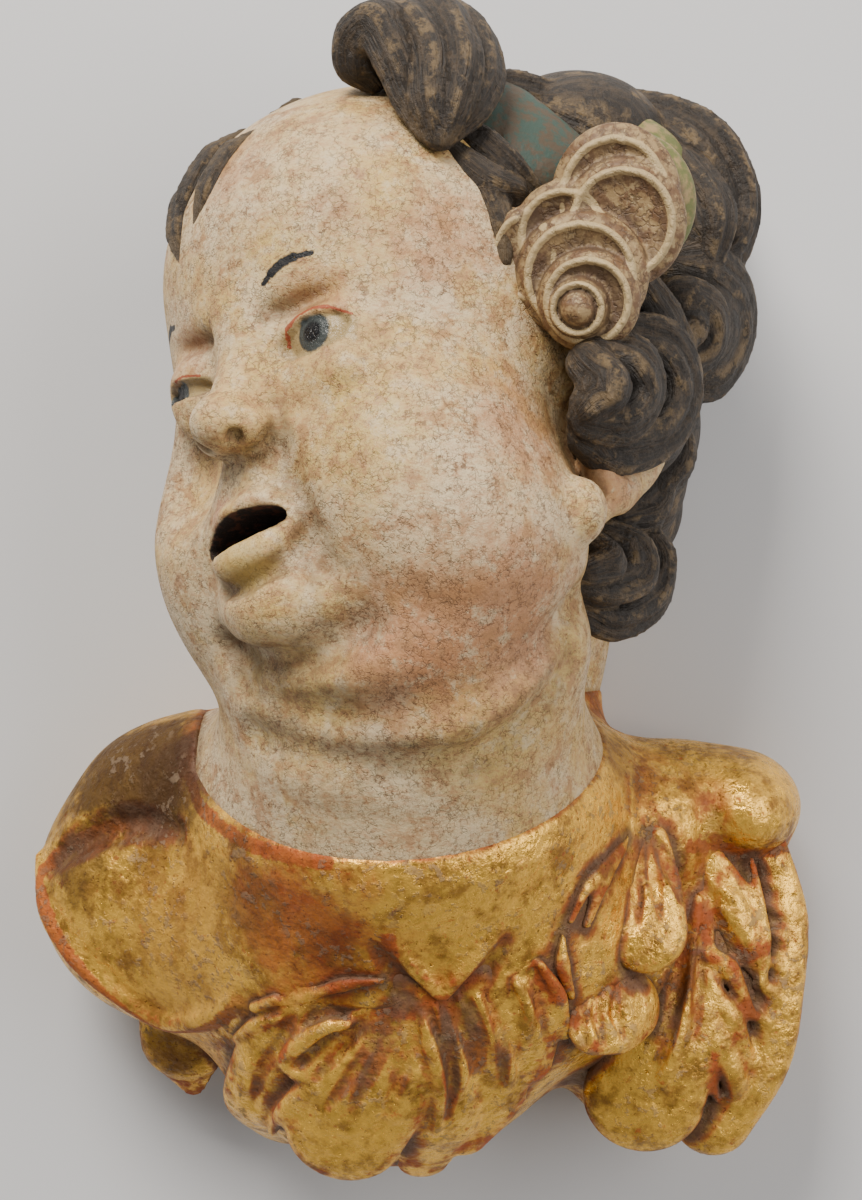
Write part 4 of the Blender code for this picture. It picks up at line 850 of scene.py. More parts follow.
def wing_steps(under):
    """The left wing and all that is carved in the cape, the middle feathers and the right wing."""

    def plume(points, widths, lift=0.0, root=-3.0, **more):
        """A feather that lies on the cape and rises to this lift from a sunk root."""
        return feather(laid(points, under, np.linspace(lift + root, lift, len(points))), widths, **more)

    def ridge(points, radii, lift=0.5, soft=1.0):
        """A gouge ridge that stands this far off the cape."""
        return added([roll(laid(points, under, lift), radii, soft=soft)])

    def on_top(kind, lines, radii, steps, soft):
        """Ridges or grooves along lines that lie on what is carved so far."""
        return [(kind, roll(laid(line, under + steps), radii, soft=soft)) for line in lines]

    # the viewer's left wing is a plain cap with a raised rim
    rim = [(-76, -24, -50.5), (-74, -26, -60), (-68, -28, -68.5), (-60, -30, -75), (-51, -33, -80),
           (-43, -40, -78.5), (-36, -48, -73.5)]
    left = ridge(rim, [1.6, 2.2, 2.4, 2.4, 2.4, 2.2, 1.6], lift=-0.5, soft=1.2)
    fold = [(-73.5, -32, -51.5), (-68.5, -38, -47), (-61, -44, -43.5), (-54.5, -50, -42), (-47, -56, -43)]
    crease = taken([roll(laid(fold, under), [1.2, 2.6, 3.0, 2.4, 1.0], soft=2.5)])
    tip = feather([(-48.5, -22, -79.5), (-49, -20, -87.5), (-48, -15, -98)], [9.5, 9, 2.5], rib=0.8)
    # the bib of the cape comes to a point over the middle feathers
    edge = [(-10, -64, -60.5), (-4.5, -62, -68.5), (2, -60, -73.5), (8, -62, -68.5), (13.5, -64, -60)]
    bib = taken([roll(laid(edge, under), [0.6, 1.9, 2.2, 1.9, 0.6], soft=1.6)])
    hem = [(-8.5, -66, -57), (-4, -64, -63.5), (0.6, -62, -69), (1.8, -62, -70), (3, -62, -69),
           (7.5, -64, -63.5), (12, -66, -58)]
    bib += ridge(hem, [0.4, 1.2, 1.2, 1.2, 1.2, 1.2, 0.4], lift=0.1, soft=0.8)
    # five feathers fan out in the middle, then come the gouge ridges along them
    middle = plume([(0, -54, -70), (3, -46, -82), (1.5, -32, -95.5), (-1.5, -20, -106.5)], [5, 8, 8, 5],
                   0.5, rib=0)
    middle += plume([(13.5, -54, -66.5), (16, -46, -76.5), (17, -34, -85)], [7, 8, 5.5], -0.5, rib=0)
    middle += plume([(7, -56, -68), (10, -48, -79.5), (11, -34, -91.5), (6.5, -24, -101)], [5, 7, 7, 4.5],
                    0.5, rib=0)
    middle += plume([(-21, -46, -71.5), (-28, -34, -84.5), (-33, -24, -96.5), (-31.5, -16, -106)],
                    [6, 8.5, 7, 6.5], 0.5, rib=0.6)
    middle += plume([(-5, -58, -69.5), (-8, -54, -78.5), (-12, -46, -88.5), (-16, -34, -98)],
                    [4, 9, 12.5, 11.2], 1.5, flat=0.3, rib=0)
    for rib in ([(-4, -58, -70.5), (-8, -54, -79.5), (-12, -46, -87.5), (-16.5, -38, -95)],
                [(-6, -58, -70.5), (-10, -54, -79.5), (-14.5, -46, -88), (-18.5, -38, -93.5)]):
        middle += ridge(rib, [0.6, 1.0, 1.0, 0.5], lift=[0.8, 2.6, 4.0, 4.6], soft=1.6)
    # the line of each ridge, its thickness, how far it stands off the cape, how softly it joins
    for line, radii, lift, soft in (
        ([(-6, -54, -78.5), (-5, -48, -85.5), (-6.5, -42, -94)], [0.8, 1.7, 0.8], [2, 3.2, 3.8], 1),
        ([(-4.5, -54, -78), (-2.5, -48, -84.5), (0, -42, -89)], [0.8, 1.5, 0.7], [2, 3, 3], 1),
        ([(-12, -52, -76.5), (-18, -50, -76), (-24, -44, -80.5), (-26.5, -43, -84.5), (-24, -44, -86)],
         [0.6, 1.4, 1.6, 1.3, 0.7], [1, 2.2, 2.8, 3.0, 3.0], 2),
        ([(-13, -50, -81.5), (-19, -46, -85), (-24.5, -44, -86)], [0.5, 1.4, 1.0], [2.0, 2.8, 3.0], 2),
        ([(-14.5, -47, -85.5), (-21.5, -42, -89), (-27, -38, -94), (-30, -32, -100.5)],
         [0.6, 1.5, 1.6, 0.8], [2.4, 3.0, 3.4, 3.4], 2),
        ([(-27.5, -42, -75.5), (-32, -38, -77.5), (-36, -34, -81)], [0.8, 1.5, 0.8], 1.2, 1),
        ([(-30, -36, -84.5), (-33.5, -34, -86), (-36.5, -30, -89.5)], [0.8, 1.7, 0.8], 2.6, 1),
        ([(-31.5, -34, -89), (-34.5, -31, -91), (-37.5, -27, -95)], [0.8, 1.7, 0.8], 3, 1),
        ([(-2.5, -58, -72), (0, -52, -80.5), (2, -44, -89.5), (1, -36, -98)],
         [0.8, 1.7, 1.7, 0.8], [0.5, 2.4, 3.2, 3.6], 1),
        ([(1, -58, -72), (3.5, -54, -78.5), (5.5, -46, -85), (5, -42, -90)],
         [0.8, 1.6, 1.6, 0.8], [0.2, 1.6, 2.4, 2.8], 1),
        ([(5, -57, -70.5), (7.5, -51, -76.5), (9, -43, -84.5)], [0.7, 1.4, 0.8], [0, 1.2, 2], 1),
        ([(8, -57, -70.5), (11.5, -51, -78), (14, -43, -85.5), (13, -38, -92)],
         [0.7, 1.6, 1.6, 0.8], [0, 1.4, 2.2, 2.4], 1),
        ([(15, -57, -68), (17.5, -51, -73.5), (17, -44, -80.5)], [0.7, 1.4, 0.8], [0.2, 1.2, 1.6], 1),
        ([(19.5, -57, -65), (23, -51, -71.5), (24.5, -40, -79.5)], [0.8, 1.6, 1.0], 0.8, 1),
        ([(-8.5, -58, -67), (-15.5, -54, -68), (-23.5, -48, -71.5)], [0.6, 1.4, 0.8], 0.3, 1),
        ([(-28, -44, -72), (-32, -40, -74)], [1.2, 1.2], 0.2, 1),
    ):
        middle += ridge(line, radii, lift, soft)
    middle += on_top("cut", [
        [(-3.5, -58, -69.5), (-8.5, -54, -80), (-14.5, -46, -93)],
        [(-5.5, -58, -69), (-12, -54, -81.5), (-19, -46, -92.5)],
        [(-2, -58, -72), (-5.5, -52, -84.5), (-9.5, -44, -97.5)],
        [(-8, -58, -70.5), (-15, -54, -79.5), (-21, -48, -86.5)],
    ], [0.4, 1.1, 0.9, 0.3], middle, soft=1.8)
    middle += on_top("cut", [
        [(2, -58, -72), (4, -50, -83), (3, -40, -94.5)],
        [(10, -56, -70), (13, -48, -79.5), (13, -42, -88.5)],
        [(5.5, -56, -70.5), (8.5, -48, -81.5), (9, -40, -92)],
        [(-25, -46, -75.5), (-30.5, -38, -85.5), (-34, -30, -95.5)],
        [(18, -54, -66.5), (20, -48, -74), (21, -44, -80.5)],
    ], [0.3, 0.9, 0.3], middle, soft=1.6)
    # the viewer's right wing: a round shoulder, then feathers lapped from the outside in
    shoulder = added([ball((60.5, -20, -40.5), (12.6, 21, 11), soft=2.5),
                      ball((51.5, -22, -37.5), (9, 14, 7), soft=6),
                      ball((43.5, -37, -43.5), (6, 4.5, 6.5), soft=9)])
    right = plume([(65, -34, -48.5), (67.5, -34, -61.5), (66, -32, -74.5), (63, -26, -88.5),
                   (55, -20, -101)], [4.5, 5.8, 6.2, 6.8, 7.8], -1.0, root=0, rib=0.0, flat=0.5)
    barbs = [(67, -52), (67.4, -56), (67.2, -60.2), (66.7, -64.8), (65.8, -69.7), (64.7, -75.1),
             (63.2, -80.6)]
    for across, up in barbs:
        right += ridge([(across - 3.0, -38, up + 1.3), (across + 0.4, -36, up),
                        (across + 4.0, -30, up - 3.0)], [0.4, 1.3, 1.3], lift=[0.4, 1.4, 1.0], soft=2.2)
    right += plume([(51, -38, -58), (49, -39, -71), (45.5, -36, -83.5), (41, -28, -95)],
                   [3, 5.5, 9.5, 11.8], 1.5, root=-2.5, flat=0.36, rib=0, soft=1.5)
    right += on_top("add", [[(51, -40, -57), (49, -41, -71), (46.5, -38, -83), (44, -34, -91.5)]],
                    [0.5, 1.2, 1.0, 0.4], right, soft=2.4)
    right += on_top("cut", [
        [(49.5, -40, -62.5), (47, -41, -72.5), (44.5, -38, -83), (41.5, -34, -90.5)],
        [(52, -40, -62.5), (51, -41, -72.5), (50, -38, -83)],
    ], [0.3, 1.0, 0.9, 0.3], right, soft=2.0)
    right += plume([(53.5, -38, -50), (57, -40, -57), (60.5, -38, -64.5), (63.5, -34, -73)],
                   [3, 4.8, 4.6, 1.2], 1.6, root=-2, rib=0.0, soft=1.2)
    right += ridge([(61.5, -36, -50), (63, -38, -58), (63.5, -38, -65.5), (63, -36, -73.5)],
                   [0.6, 1.1, 1.1, 0.6], lift=2.4)
    for tongue in ([(54, -38, -54), (57.5, -38, -57), (60.5, -36, -61)],
                   [(55.5, -38, -58.5), (58.5, -38, -62), (61.5, -36, -66.5)]):
        right += on_top("add", [tongue], [0.5, 1.5, 0.6], right, soft=2.2)
    right += added([roll([(57.5, -28, -66), (57.5, -28, -76), (56.5, -25, -86), (56, -20, -95)],
                         [4, 5.5, 5.5, 4], soft=3)])
    for tongue, radii in (([(52, -38, -67), (56.5, -39, -70), (61, -36, -79)], [0.6, 2.2, 1.2]),
                          ([(52.5, -38, -71.5), (57, -38, -79.5), (61, -31, -88.5)], [0.6, 2.6, 1.4]),
                          ([(51.5, -38, -76), (54.5, -38, -83.5), (58.5, -34, -92.5), (58, -28, -98.5)],
                           [0.6, 2.6, 2.6, 1.2]),
                          ([(50, -38, -81), (52.5, -35, -89), (55, -31, -96)], [0.5, 1.8, 0.8])):
        right += ridge(tongue, radii, lift=1.2, soft=1.4)
    right += plume([(37, -42, -75.5), (34, -44, -76.5), (30, -45, -77.5)], [6.8, 7.4, 6], 1.6, root=0,
                   flat=0.42, rib=0.0, soft=1.2)
    right += on_top("cut", [
        [(28, -44, -73), (27.5, -44, -77), (28, -42, -81)],
        [(31, -46, -71.5), (30.5, -46, -75.5), (31.5, -44, -81)],
        [(34.5, -46, -71), (34, -46, -75.5), (35.5, -44, -80.5)],
    ], [0.6, 1.4, 0.6], right, soft=1.2)
    right += ridge([(36.5, -50, -44), (31, -52, -51), (28, -54, -58.5)], [0.5, 1.6, 0.9], lift=0.2,
                   soft=2.6)
    right += ridge([(34.5, -50, -45.5), (28.5, -54, -50.5), (25, -56, -57.5)], [0.5, 1.3, 0.7], lift=0.1,
                   soft=2.6)
    right += ridge([(23.5, -54, -60), (23.5, -54, -65.5), (25.5, -50, -72)], [0.5, 1.6, 0.8], lift=0.3,
                   soft=2.2)
    right += plume([(39.5, -40, -38), (39.5, -46, -45.5), (39.5, -48, -53.5), (39.5, -48, -61)],
                   [2.2, 5.2, 7.4, 8.2], 2.0, root=-3.4, flat=0.42, rib=0.0, soft=2.0)
    right += on_top("cut", [
        [(38, -46, -43), (35.5, -50, -51), (34, -50, -61)],
        [(39.5, -46, -43), (38.5, -50, -51.5), (38, -50, -60)],
        [(41, -46, -43), (41.5, -50, -51), (42.5, -50, -59)],
        [(42, -46, -44.5), (44.5, -50, -49.5), (46.5, -50, -55.5)],
    ], [0.6, 1.6, 0.6], right, soft=1.2)
    return left + crease + tip + bib + shoulder, middle, right


def gilding_work(p, shader):
    at = p.place()
    edge, hollow = p.mark("edge"), p.mark("hollow")
    gold = p.mix(p.step(p.noise(at, 0.16, 5.0, 0.68), 0.46, 0.64), GOLD, DULL_GOLD)
    metal = p.step(p.noise(at, 0.3, 4.0, 0.65), 0.3, 0.6, 1.0, 0.65)
    ragged = p.product(p.maths("SUBTRACT", p.noise(at, 0.7, 4.0, 0.65), 0.5), 1.4)
    worn = p.product(p.placed(RUBBED, place=at, edge=edge, amount=0.95),
                     p.step(p.noise(at, 0.16, 4.0, 0.6), 0.4, 0.58))
    beside = p.product(p.step(hollow, 0.08, 0.3), p.step(p.noise(at, 0.2, 4.0, 0.65), 0.36, 0.56), 0.85)
    lines = p.product(p.step(p.maths("ADD", p.mark("bole"), ragged), 0.35, 0.75), 0.9)
    loss = p.product(p.step(p.noise(at, 0.42, 5.0, 0.72), 0.6, 0.66), 0.75)
    worn = p.maths("MAXIMUM", p.maths("MAXIMUM", worn, beside), p.maths("MAXIMUM", loss, lines))
    tone = p.mix(worn, gold, BOLE)
    patina = p.product(p.step(p.noise(at, 0.1, 6.0, 0.72), 0.52, 0.66), 0.7)
    tone = p.mix(patina, tone, PATINA)
    worn = p.maths("MAXIMUM", worn, p.product(patina, 0.6))
    for colour, centre, size, share in GILT_PATCHES:
        there = p.product(p.placed(PATCH, place=at, centre=centre, size=size, ragged=1.3), share)
        tone = p.mix(there, tone, colour)
        worn = p.maths("MAXIMUM", worn, p.product(there, 0.9))
    # dirt in the hollows, which also stands for the shade there: painted shade
    deep = p.placed(SHADE_AND_GRIME, place=at, hollow=hollow, amount=0.85)
    # the deeper the hollow, the darker red-brown: painted shade
    tone = p.mix(p.product(p.step(hollow, 0.15, 0.7), 0.8), tone, DARK_BOLE_AND_SHADE)
    tone = p.mix(p.product(deep, 0.5), tone, GREY_DIRT_AND_SHADE)
    blots = p.product(p.step(p.noise(at, 0.5, 4.0, 0.65), 0.55, 0.6),
                      p.step(p.noise(at, 0.07, 2.0), 0.42, 0.58))
    tone = p.mix(p.product(blots, 0.6), tone, GREY_DIRT_AND_SHADE)
    pits = p.step(p.noise(at, 1.1, 3.0, 0.7), 0.62, 0.68)
    tone = p.mix(p.product(pits, 0.6), tone, DARK_BOLE_AND_SHADE)
    flat_back = p.placed(SAWN, place=at)
    tone = p.mix(flat_back, tone, BARE_WOOD)
    cover = p.maths("MAXIMUM", p.maths("MAXIMUM", worn, deep), p.maths("MAXIMUM", blots, flat_back))
    metal = p.product(metal, p.maths("SUBTRACT", 1.0, p.product(cover, 0.9)))
    dents = p.maths("ADD", p.noise(at, 0.6, 4.0, 0.6), p.product(p.noise(at, 0.2, 3.0), 2.0))
    rise = p.maths("ADD", dents, p.product(blots, 0.4))
    rise = p.maths("SUBTRACT", rise, p.product(pits, 0.5))
    bump = p.bump(rise, 0.7, 0.0007)
    rough = p.maths("ADD", p.step(p.noise(at, 0.5, 3.0), 0.3, 0.7, 0.22, 0.36), p.product(cover, 0.28))
    show(p, shader, base_color=tone, metallic=metal, roughness=rough, normal=bump)
    shader.inputs["Specular IOR Level"].default_value = 0.2


def mark_bole(piece, under):
    """Marks how near each corner is to one of the red lines, which lie on the forms under them."""
    spots = corners(piece)
    gap = np.full(len(spots), FAR)
    for line in BOLE_LINES:
        gap = np.minimum(gap, roll(laid(line, under), [BOLE_WIDE]).depth(spots))
    mark(piece, "bole", np.clip(1 - gap / BOLE_NEAR, 0, 1))


gilding = finish_of("gilding", gilding_work)
left_wing, middle_feathers, right_wing = wing_steps(cape_over)
shoulders = skin("cape_and_left_wing", cape_over + left_wing + SAWN_BACK, CAPE_GRAIN,
                 around=middle_feathers + right_wing)
middle = skin("middle_feathers", middle_feathers + SAWN_BACK, FEATHER_GRAIN, around=cape_over)
right = skin("right_wing", right_wing + SAWN_BACK, FEATHER_GRAIN, around=cape_over)
for piece in (shoulders, middle, right):
    mark_bole(piece, cape_over + left_wing)
    piece.data.materials.append(gilding)
    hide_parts("cherub")
    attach(piece, "root")

# Hair
# Thick curling locks carved from the same block, cut with a small gouge into strands.
# On the far side and behind it is combed down flat, and plainer.
# Painted dark brown, with dull gold along the ridges of the strands and dust on top.
HAIR_GRAIN = 0.8
FAR_SIDE_GRAIN = 1.1
COMB_REACH = 2.0  # a lock combs the corners this near it
# dark umber paint, also the painted shade in the hollows of the hair
UMBER_AND_SHADE = (0.015, 0.010, 0.0062, 1)
HAIR_GOLD = (0.17, 0.112, 0.052, 1)
HAIR_DUST = (0.062, 0.040, 0.021, 1)


def lock(points, radii, strands=5, cut=0.22, **more):
    """A curling lock of this many strands, cut this deep as a share of its radius."""
    return roll(points, radii, soft=0.8, strands=strands, cut=cut, flat=0.85, fine=0.06, **more)


head_lock = partial(lock, place=HEAD, up=(-1, 0, 0))


def hair_steps():
    """The hair that lies low, the locks over it, and the hair of the far side."""
    masses = [ball((45, -34, 75.5), (13, 17, 15), soft=3), ball((48, -12, 73), (12, 15, 15), soft=3),
              ball((48, -38, 53.5), (11, 17, 15), soft=3), ball((48.5, -14, 51), (11, 15, 14), soft=3),
              ball((37, -54, 36.5), (11, 14, 15), soft=3), ball((40, -24, 34.5), (13, 18, 17), soft=3),
              ball((41.5, -32, 25), (8, 15, 13), soft=3), ball((37.5, -16, 19), (13, 18, 14), soft=3),
              ball((33, -46, 4.5), (9, 16, 11), soft=2), ball((32.5, -22, 8), (14, 20, 13), soft=2),
              ball((27, -36, 86), (18, 24, 14), soft=4), ball((38, -14, 87), (20, 18, 16), soft=4),
              ball((0, -66, 95), (9, 12, 12), soft=3)]
    behind = [lock([(34, -14, 93), (44, -16, 90.5), (54, -14, 83), (56, -10, 73.5), (53, -8, 66.5)],
                   [5, 6, 6.5, 6, 4]),
              lock([(52.5, -18, 65.5), (56.5, -12, 58), (54, -8, 49.5), (49, -10, 44)], [4, 6, 6, 4.5]),
              lock([(43.5, -26, 40), (44.5, -14, 32.5), (43, -8, 25.5), (39, -6, 20.5)],
                   [4, 6, 5.5, 4.5]),
              lock([(40.5, -30, 23.5), (39.5, -20, 16), (40, -14, 8), (37, -16, 0), (30.5, -24, -2)],
                   [4, 5.5, 6, 5.5, 4])]
    upper = [lock([(31, -26, 93), (40, -34, 91), (50, -40, 85), (55, -40, 75.5), (53.5, -42, 66.5),
                   (48.5, -48, 62.5)], [5, 7.5, 8.5, 8, 7, 4.5], strands=7),
             lock([(40, -36, 86), (45.5, -48, 78), (49.5, -52, 70.5), (49.5, -52, 64)], [5, 7, 7, 5],
                  strands=6),
             lock([(41.5, -50, 58), (47.5, -52, 61.5), (54.5, -44, 58), (56.5, -38, 50.5),
                   (52.5, -40, 43), (46.5, -46, 41.5)], [4, 6, 6.5, 6.5, 6, 4.5]),
             lock([(42, -56, 49), (44.5, -60, 54), (50, -56, 52), (50, -54, 46.5), (46, -56, 44),
                   (42.5, -60, 46.5)], [3.5, 4.5, 4.5, 4.5, 4, 3], strands=4),
             ball((46, -60, 49), (4, 4, 4), soft=1),
             lock([(36, -70, 55), (40, -68, 49.5), (43.5, -62, 43.5), (45.5, -52, 38)],
                  [4, 4.5, 4.5, 3.5], strands=4)]
    ear_curl = [lock([(31, -78, 45.5), (39, -72, 43.5), (41.5, -68, 37), (38.5, -70, 30.5), (32, -76, 27),
                      (26, -82, 27.5)], [4.5, 6.5, 7.2, 7.2, 6.5, 4], strands=5, cut=0.28),
                lock([(28.5, -84, 42), (33.5, -82, 39.5), (35, -80, 35), (31.5, -82, 31),
                      (26, -86, 30.5)], [4, 5.5, 5.5, 5.5, 4], strands=4, cut=0.28),
                lock([(26, -86, 39.5), (29, -88, 35.5), (26.5, -88, 32.5)], [4, 5, 4], strands=3),
                lock([(25.5, -84, 29.5), (28.5, -80, 25), (31, -76, 22.5)], [3, 3.5, 2.5], strands=3)]
    nape = [lock([(44, -42, 33), (44.5, -44, 27), (41.5, -46, 22)], [5, 6, 4.5]),
            lock([(42, -44, 22.5), (39.5, -48, 17.5), (35, -52, 15.5)], [4.5, 5.5, 4]),
            lock([(36, -46, 13), (40.5, -46, 7.5), (38.5, -50, 0.5), (31.5, -58, -3), (25.5, -64, -1)],
                 [5, 6, 6, 5.5, 4], strands=5, cut=0.28),
            lock([(31.5, -58, 11), (36, -58, 8), (35.5, -60, 4), (30, -66, 2), (25, -70, 3.5)],
                 [4, 5, 5, 4.5, 3.5], strands=4, cut=0.28),
            lock([(28, -66, 9.5), (30.5, -68, 6.5), (27, -72, 5)], [4, 4.5, 3.5], strands=3)]
    crown = [lock([(9, -60, 92), (15, -56, 92), (22, -50, 91), (29.5, -44, 89)], [3.5, 4.5, 5, 4.5]),
             lock([(23.5, -40, 91.5), (28, -38, 93), (32, -36, 90.5)], [4, 5, 4]),
             lock([(3, -78, 77), (6.5, -79, 73.5), (10, -79, 71), (14.5, -77, 70)], [2.2, 3.2, 3.4, 2.4],
                  strands=4),
             lock([(6.5, -78, 73), (9.5, -79, 68.5), (11.5, -80, 63.5), (12, -81, 57.5)],
                  [2, 3.2, 3.2, 2], strands=4)]
    forelock = [lock([(2, -82, 78), (6.5, -78, 84), (9, -72, 91.5), (7, -66, 100), (1.5, -60, 106)],
                     [2.5, 4, 4.5, 4.5, 4], strands=4),
                lock([(1.5, -83, 77.5), (3, -82, 84), (4, -79, 91.5), (1.5, -72, 100),
                      (-3.5, -64, 105.5)], [2.5, 4.5, 5.5, 5.5, 4], strands=5),
                lock([(1, -83, 78), (0, -83, 84), (0, -80, 91.5), (-3, -75, 98.5), (-8, -68, 103)],
                     [2.5, 4, 5, 5, 4], strands=4),
                lock([(-0.5, -82, 79), (-3.5, -80, 85), (-5.5, -79, 91.5), (-9, -76, 98.5),
                      (-12.5, -74, 97.5), (-13.5, -72, 93.5), (-10.5, -71, 90.5)],
                     [2.5, 3.5, 4.5, 5, 5, 4.5, 3], strands=4),
                ball((-11, -70, 94.5), (4.5, 6, 5), soft=1)]
    far_side = [head_lock([(-25, -22, 46), (-31, -18, 36), (-33, -14, 24), (-32, -13, 10)],
                          [2.5, 4, 4.5, 2.5]),
                head_lock([(-20, -12, 54), (-32, -9, 42), (-36, -5, 28), (-36, -3, 12)],
                          [2.5, 4.5, 5, 3.5]),
                head_lock([(-8, -14, 60), (-20, -16, 54), (-28, -16, 44)], [2.5, 4, 3], up=(-0.5, 0, 1)),
                head_lock([(-33, -8, 40), (-39, 0, 30), (-40, 6, 16), (-38, 10, 2)], [3, 4.5, 5, 4]),
                head_ball((-2, 9.5, 18.5), SKULL)]
    # combed down from the crown over the back and the far side
    for way in range(-30, 95, 17):
        out = np.array([-np.sin(np.radians(way)), np.cos(np.radians(way)), 0])
        down = np.radians([20, 45, 70, 95, 118])[:, None]
        falls = SKULL_AT + 0.97 * np.array(SKULL) * (out * np.sin(down) + [0, 0, 1] * np.cos(down))
        far_side.append(head_lock(falls, [3, 5.5, 6.5, 6, 3], up=tuple(out)))
    head = head_steps()[0]
    # painted locks at the far temple, then at the hairline under the headband
    temple = [
        lock(laid(points, head, lift), radii)
        for points, lift, radii in (
            ([(-30, -64, 82), (-34.5, -61, 77.5), (-38, -60, 71), (-40.5, -60, 64)], -2.2,
             [1.2, 3.2, 3.4, 1.4]),
            ([(-33.5, -60, 84), (-38.5, -57, 79), (-42, -56, 72.5), (-44, -56, 65.5)], -2.2,
             [1.2, 3.4, 3.4, 1.4]),
            ([(3.5, -72, 82), (8.5, -74, 78), (12.5, -76, 74.5), (17, -78, 70.5)], -1.2,
             [2.5, 4.2, 4.2, 3]),
            ([(6, -76, 73.5), (10.5, -78, 70), (15.5, -80, 66.5)], -2.2, [2, 4, 2.5]),
            ([(-41, -57, 75.5), (-43.5, -56, 70.5), (-44, -57, 64.5), (-43, -60, 58.5)], -2.2,
             [1.4, 3.4, 3.2, 1.2]),
        )
    ]
    return masses + behind + temple, crown + upper + nape + ear_curl + forelock, far_side


def hair_work(p, shader):
    at = p.place()
    edge, hollow, combed = p.mark("edge"), p.mark("hollow"), p.mark("combed", 1)
    top = p.node("ShaderNodeSeparateXYZ", {0: combed}, 2)
    fine = p.noise(p.vector("MULTIPLY", combed, (6.0, 0.12, 0.0)), 1.0, 4.0, 0.65)
    tone = p.mix(p.step(fine, 0.44, 0.64, 0.0, 0.8), UMBER_AND_SHADE, HAIR_DUST)
    lit = p.product(p.step(top, 0.8, 1.0), p.step(p.noise(at, 0.3, 5.0, 0.7), 0.46, 0.6))
    tone = p.mix(p.product(lit, 0.85), tone, HAIR_GOLD)
    tone = p.mix(p.placed(RUBBED, place=at, edge=edge, amount=0.5), tone, HAIR_GOLD)
    tone = p.mix(p.product(p.step(p.noise(at, 0.4, 5.0, 0.7), 0.52, 0.62), 0.7), tone, HAIR_DUST)
    # the hollows between strands and locks go dark: dirt, and painted shade
    dirt_and_shade = p.placed(SHADE_AND_GRIME, place=at, hollow=hollow, amount=0.9)
    tone = p.mix(dirt_and_shade, tone, UMBER_AND_SHADE)
    flat_back = p.placed(SAWN, place=at)
    tone = p.mix(flat_back, tone, BARE_WOOD)
    rise = p.maths("ADD", p.product(fine, 1.5), p.product(p.noise(at, 0.6, 5.0, 0.65), 1.6))
    bump = p.bump(rise, 0.8, 0.0007)
    show(p, shader, base_color=tone, roughness=0.58, normal=bump)


def comb(piece, forms):
    """Marks where each corner lies around and along the lock nearest to it."""
    spots = corners(piece)
    nearest = np.full(len(spots), FAR)
    across, back, up = ((spots - HEAD.origin) @ HEAD.axes).T
    combed = np.column_stack([4 * np.arctan2(across, back), up, np.zeros(len(spots))])
    for form in forms:
        if form.ways:
            beside = (spots > form.low - COMB_REACH) & (spots < form.high + COMB_REACH)
            close = np.nonzero(beside.all(1))[0]
            gap, *ways = form.ways(spots[close])
            won = gap < nearest[close]
            nearest[close[won]] = gap[won]
            combed[close[won]] = np.column_stack(ways)[won]
    mark(piece, "combed", combed)


low_hair, locks, far_side_locks = hair_steps()
hair_paint = finish_of("hair_paint", hair_work)
for name, forms, grain in (("hair", low_hair + locks, HAIR_GRAIN),
                           ("far_side_hair", far_side_locks, FAR_SIDE_GRAIN)):
    piece = skin(name, added(forms) + SAWN_BACK, grain)
    comb(piece, forms)
    piece.data.materials.append(hair_paint)
    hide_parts("cherub")
    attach(piece, "root")

# Headband
# A broad ribbon carved across the hair from the forelock to the rose.
# Its blue-green paint is worn to brown wood in streaks.
TRIM_GRAIN = 0.5  # of the headband, the rose and the leaf
BAND_TEAL = (0.035, 0.065, 0.05, 1)
BAND_WORN = (0.075, 0.052, 0.03, 1)


def band_steps():
    """The headband runs from behind the forelock to the rose."""
    line = [(5.5, -63, 90.5), (13, -64, 85), (20.5, -65, 78.5), (28.5, -64, 71.5)]
    return added([roll(line, [6, 9, 9, 7], soft=1, flat=0.42, up=(0.35, -0.8, 0.5))])


def band_work(p, shader):
    at = p.place()
    edge, hollow = p.mark("edge"), p.mark("hollow")
    tone = p.mix(p.step(p.noise(at, 0.3, 6.0, 0.72), 0.44, 0.58), BAND_TEAL, BAND_WORN)
    tone = p.mix(p.placed(RUBBED, place=at, edge=edge, amount=0.7), tone, BAND_WORN)
    # the hollows go dark: dirt, and painted shade
    tone = p.mix(p.placed(SHADE_AND_GRIME, place=at, hollow=hollow, amount=0.8), tone, OLD_DIRT_AND_SHADE)
    bump = p.bump(p.noise(at, 0.7, 4.0, 0.6), 0.5, 0.0005)
    show(p, shader, base_color=tone, roughness=0.6, normal=bump)


band = skin("headband", band_steps(), TRIM_GRAIN)
band.data.materials.append(finish_of("band_paint", band_work))
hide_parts("cherub")
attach(band, "root")

# Rose
# A rose of thick shallow petals with a leaf behind it, carved at the side of the headband.
# Cream and brown paint is left in the cups, darkened there with dirt and with painted shade, and the rims
# are rubbed pale.
PETAL = (0.33, 0.22, 0.10, 1)
PETAL_BROWN = (0.15, 0.078, 0.034, 1)
PETAL_RIM = (0.52, 0.39, 0.20, 1)
ROSE = Place(rotation((12, 0, -12)), (25.5, -82, 49.5))

# across, out, up, radius across, radius up
PETALS = [
    (5.5, 5, 17.5, 11, 12.5),
    (-9.5, 2, 8.5, 6.3, 8.5),
    (-3, 3.5, 12, 9, 9),
    (7, 3, 13.5, 10.5, 11),
    (0, 0.5, 5, 11.3, 11),
    (1.4, -2, 1, 8.7, 8.7),
    (0, -4, 0, 5.2, 5.2),
]
RIM_THICK = 0.5
RIM_NEAR = 0.6  # the rubbed paint of a rim reaches this far from it
RIM_OUT, RIM_SIZE = 2.9, 0.79  # how far before a petal's middle its rim lies, and its size to the petal's


def rim_of(petal):
    """The thin raised rim of a petal."""
    across, out, up, wide, tall = petal
    turns = np.radians(np.arange(0, 361, 30))
    line = np.column_stack([across + wide * RIM_SIZE * np.sin(turns), np.full(len(turns), out - RIM_OUT),
                            up + tall * RIM_SIZE * np.cos(turns)])
    return roll(line, [RIM_THICK], soft=0.2, place=ROSE)


RIMS = [rim_of(petal) for petal in PETALS]


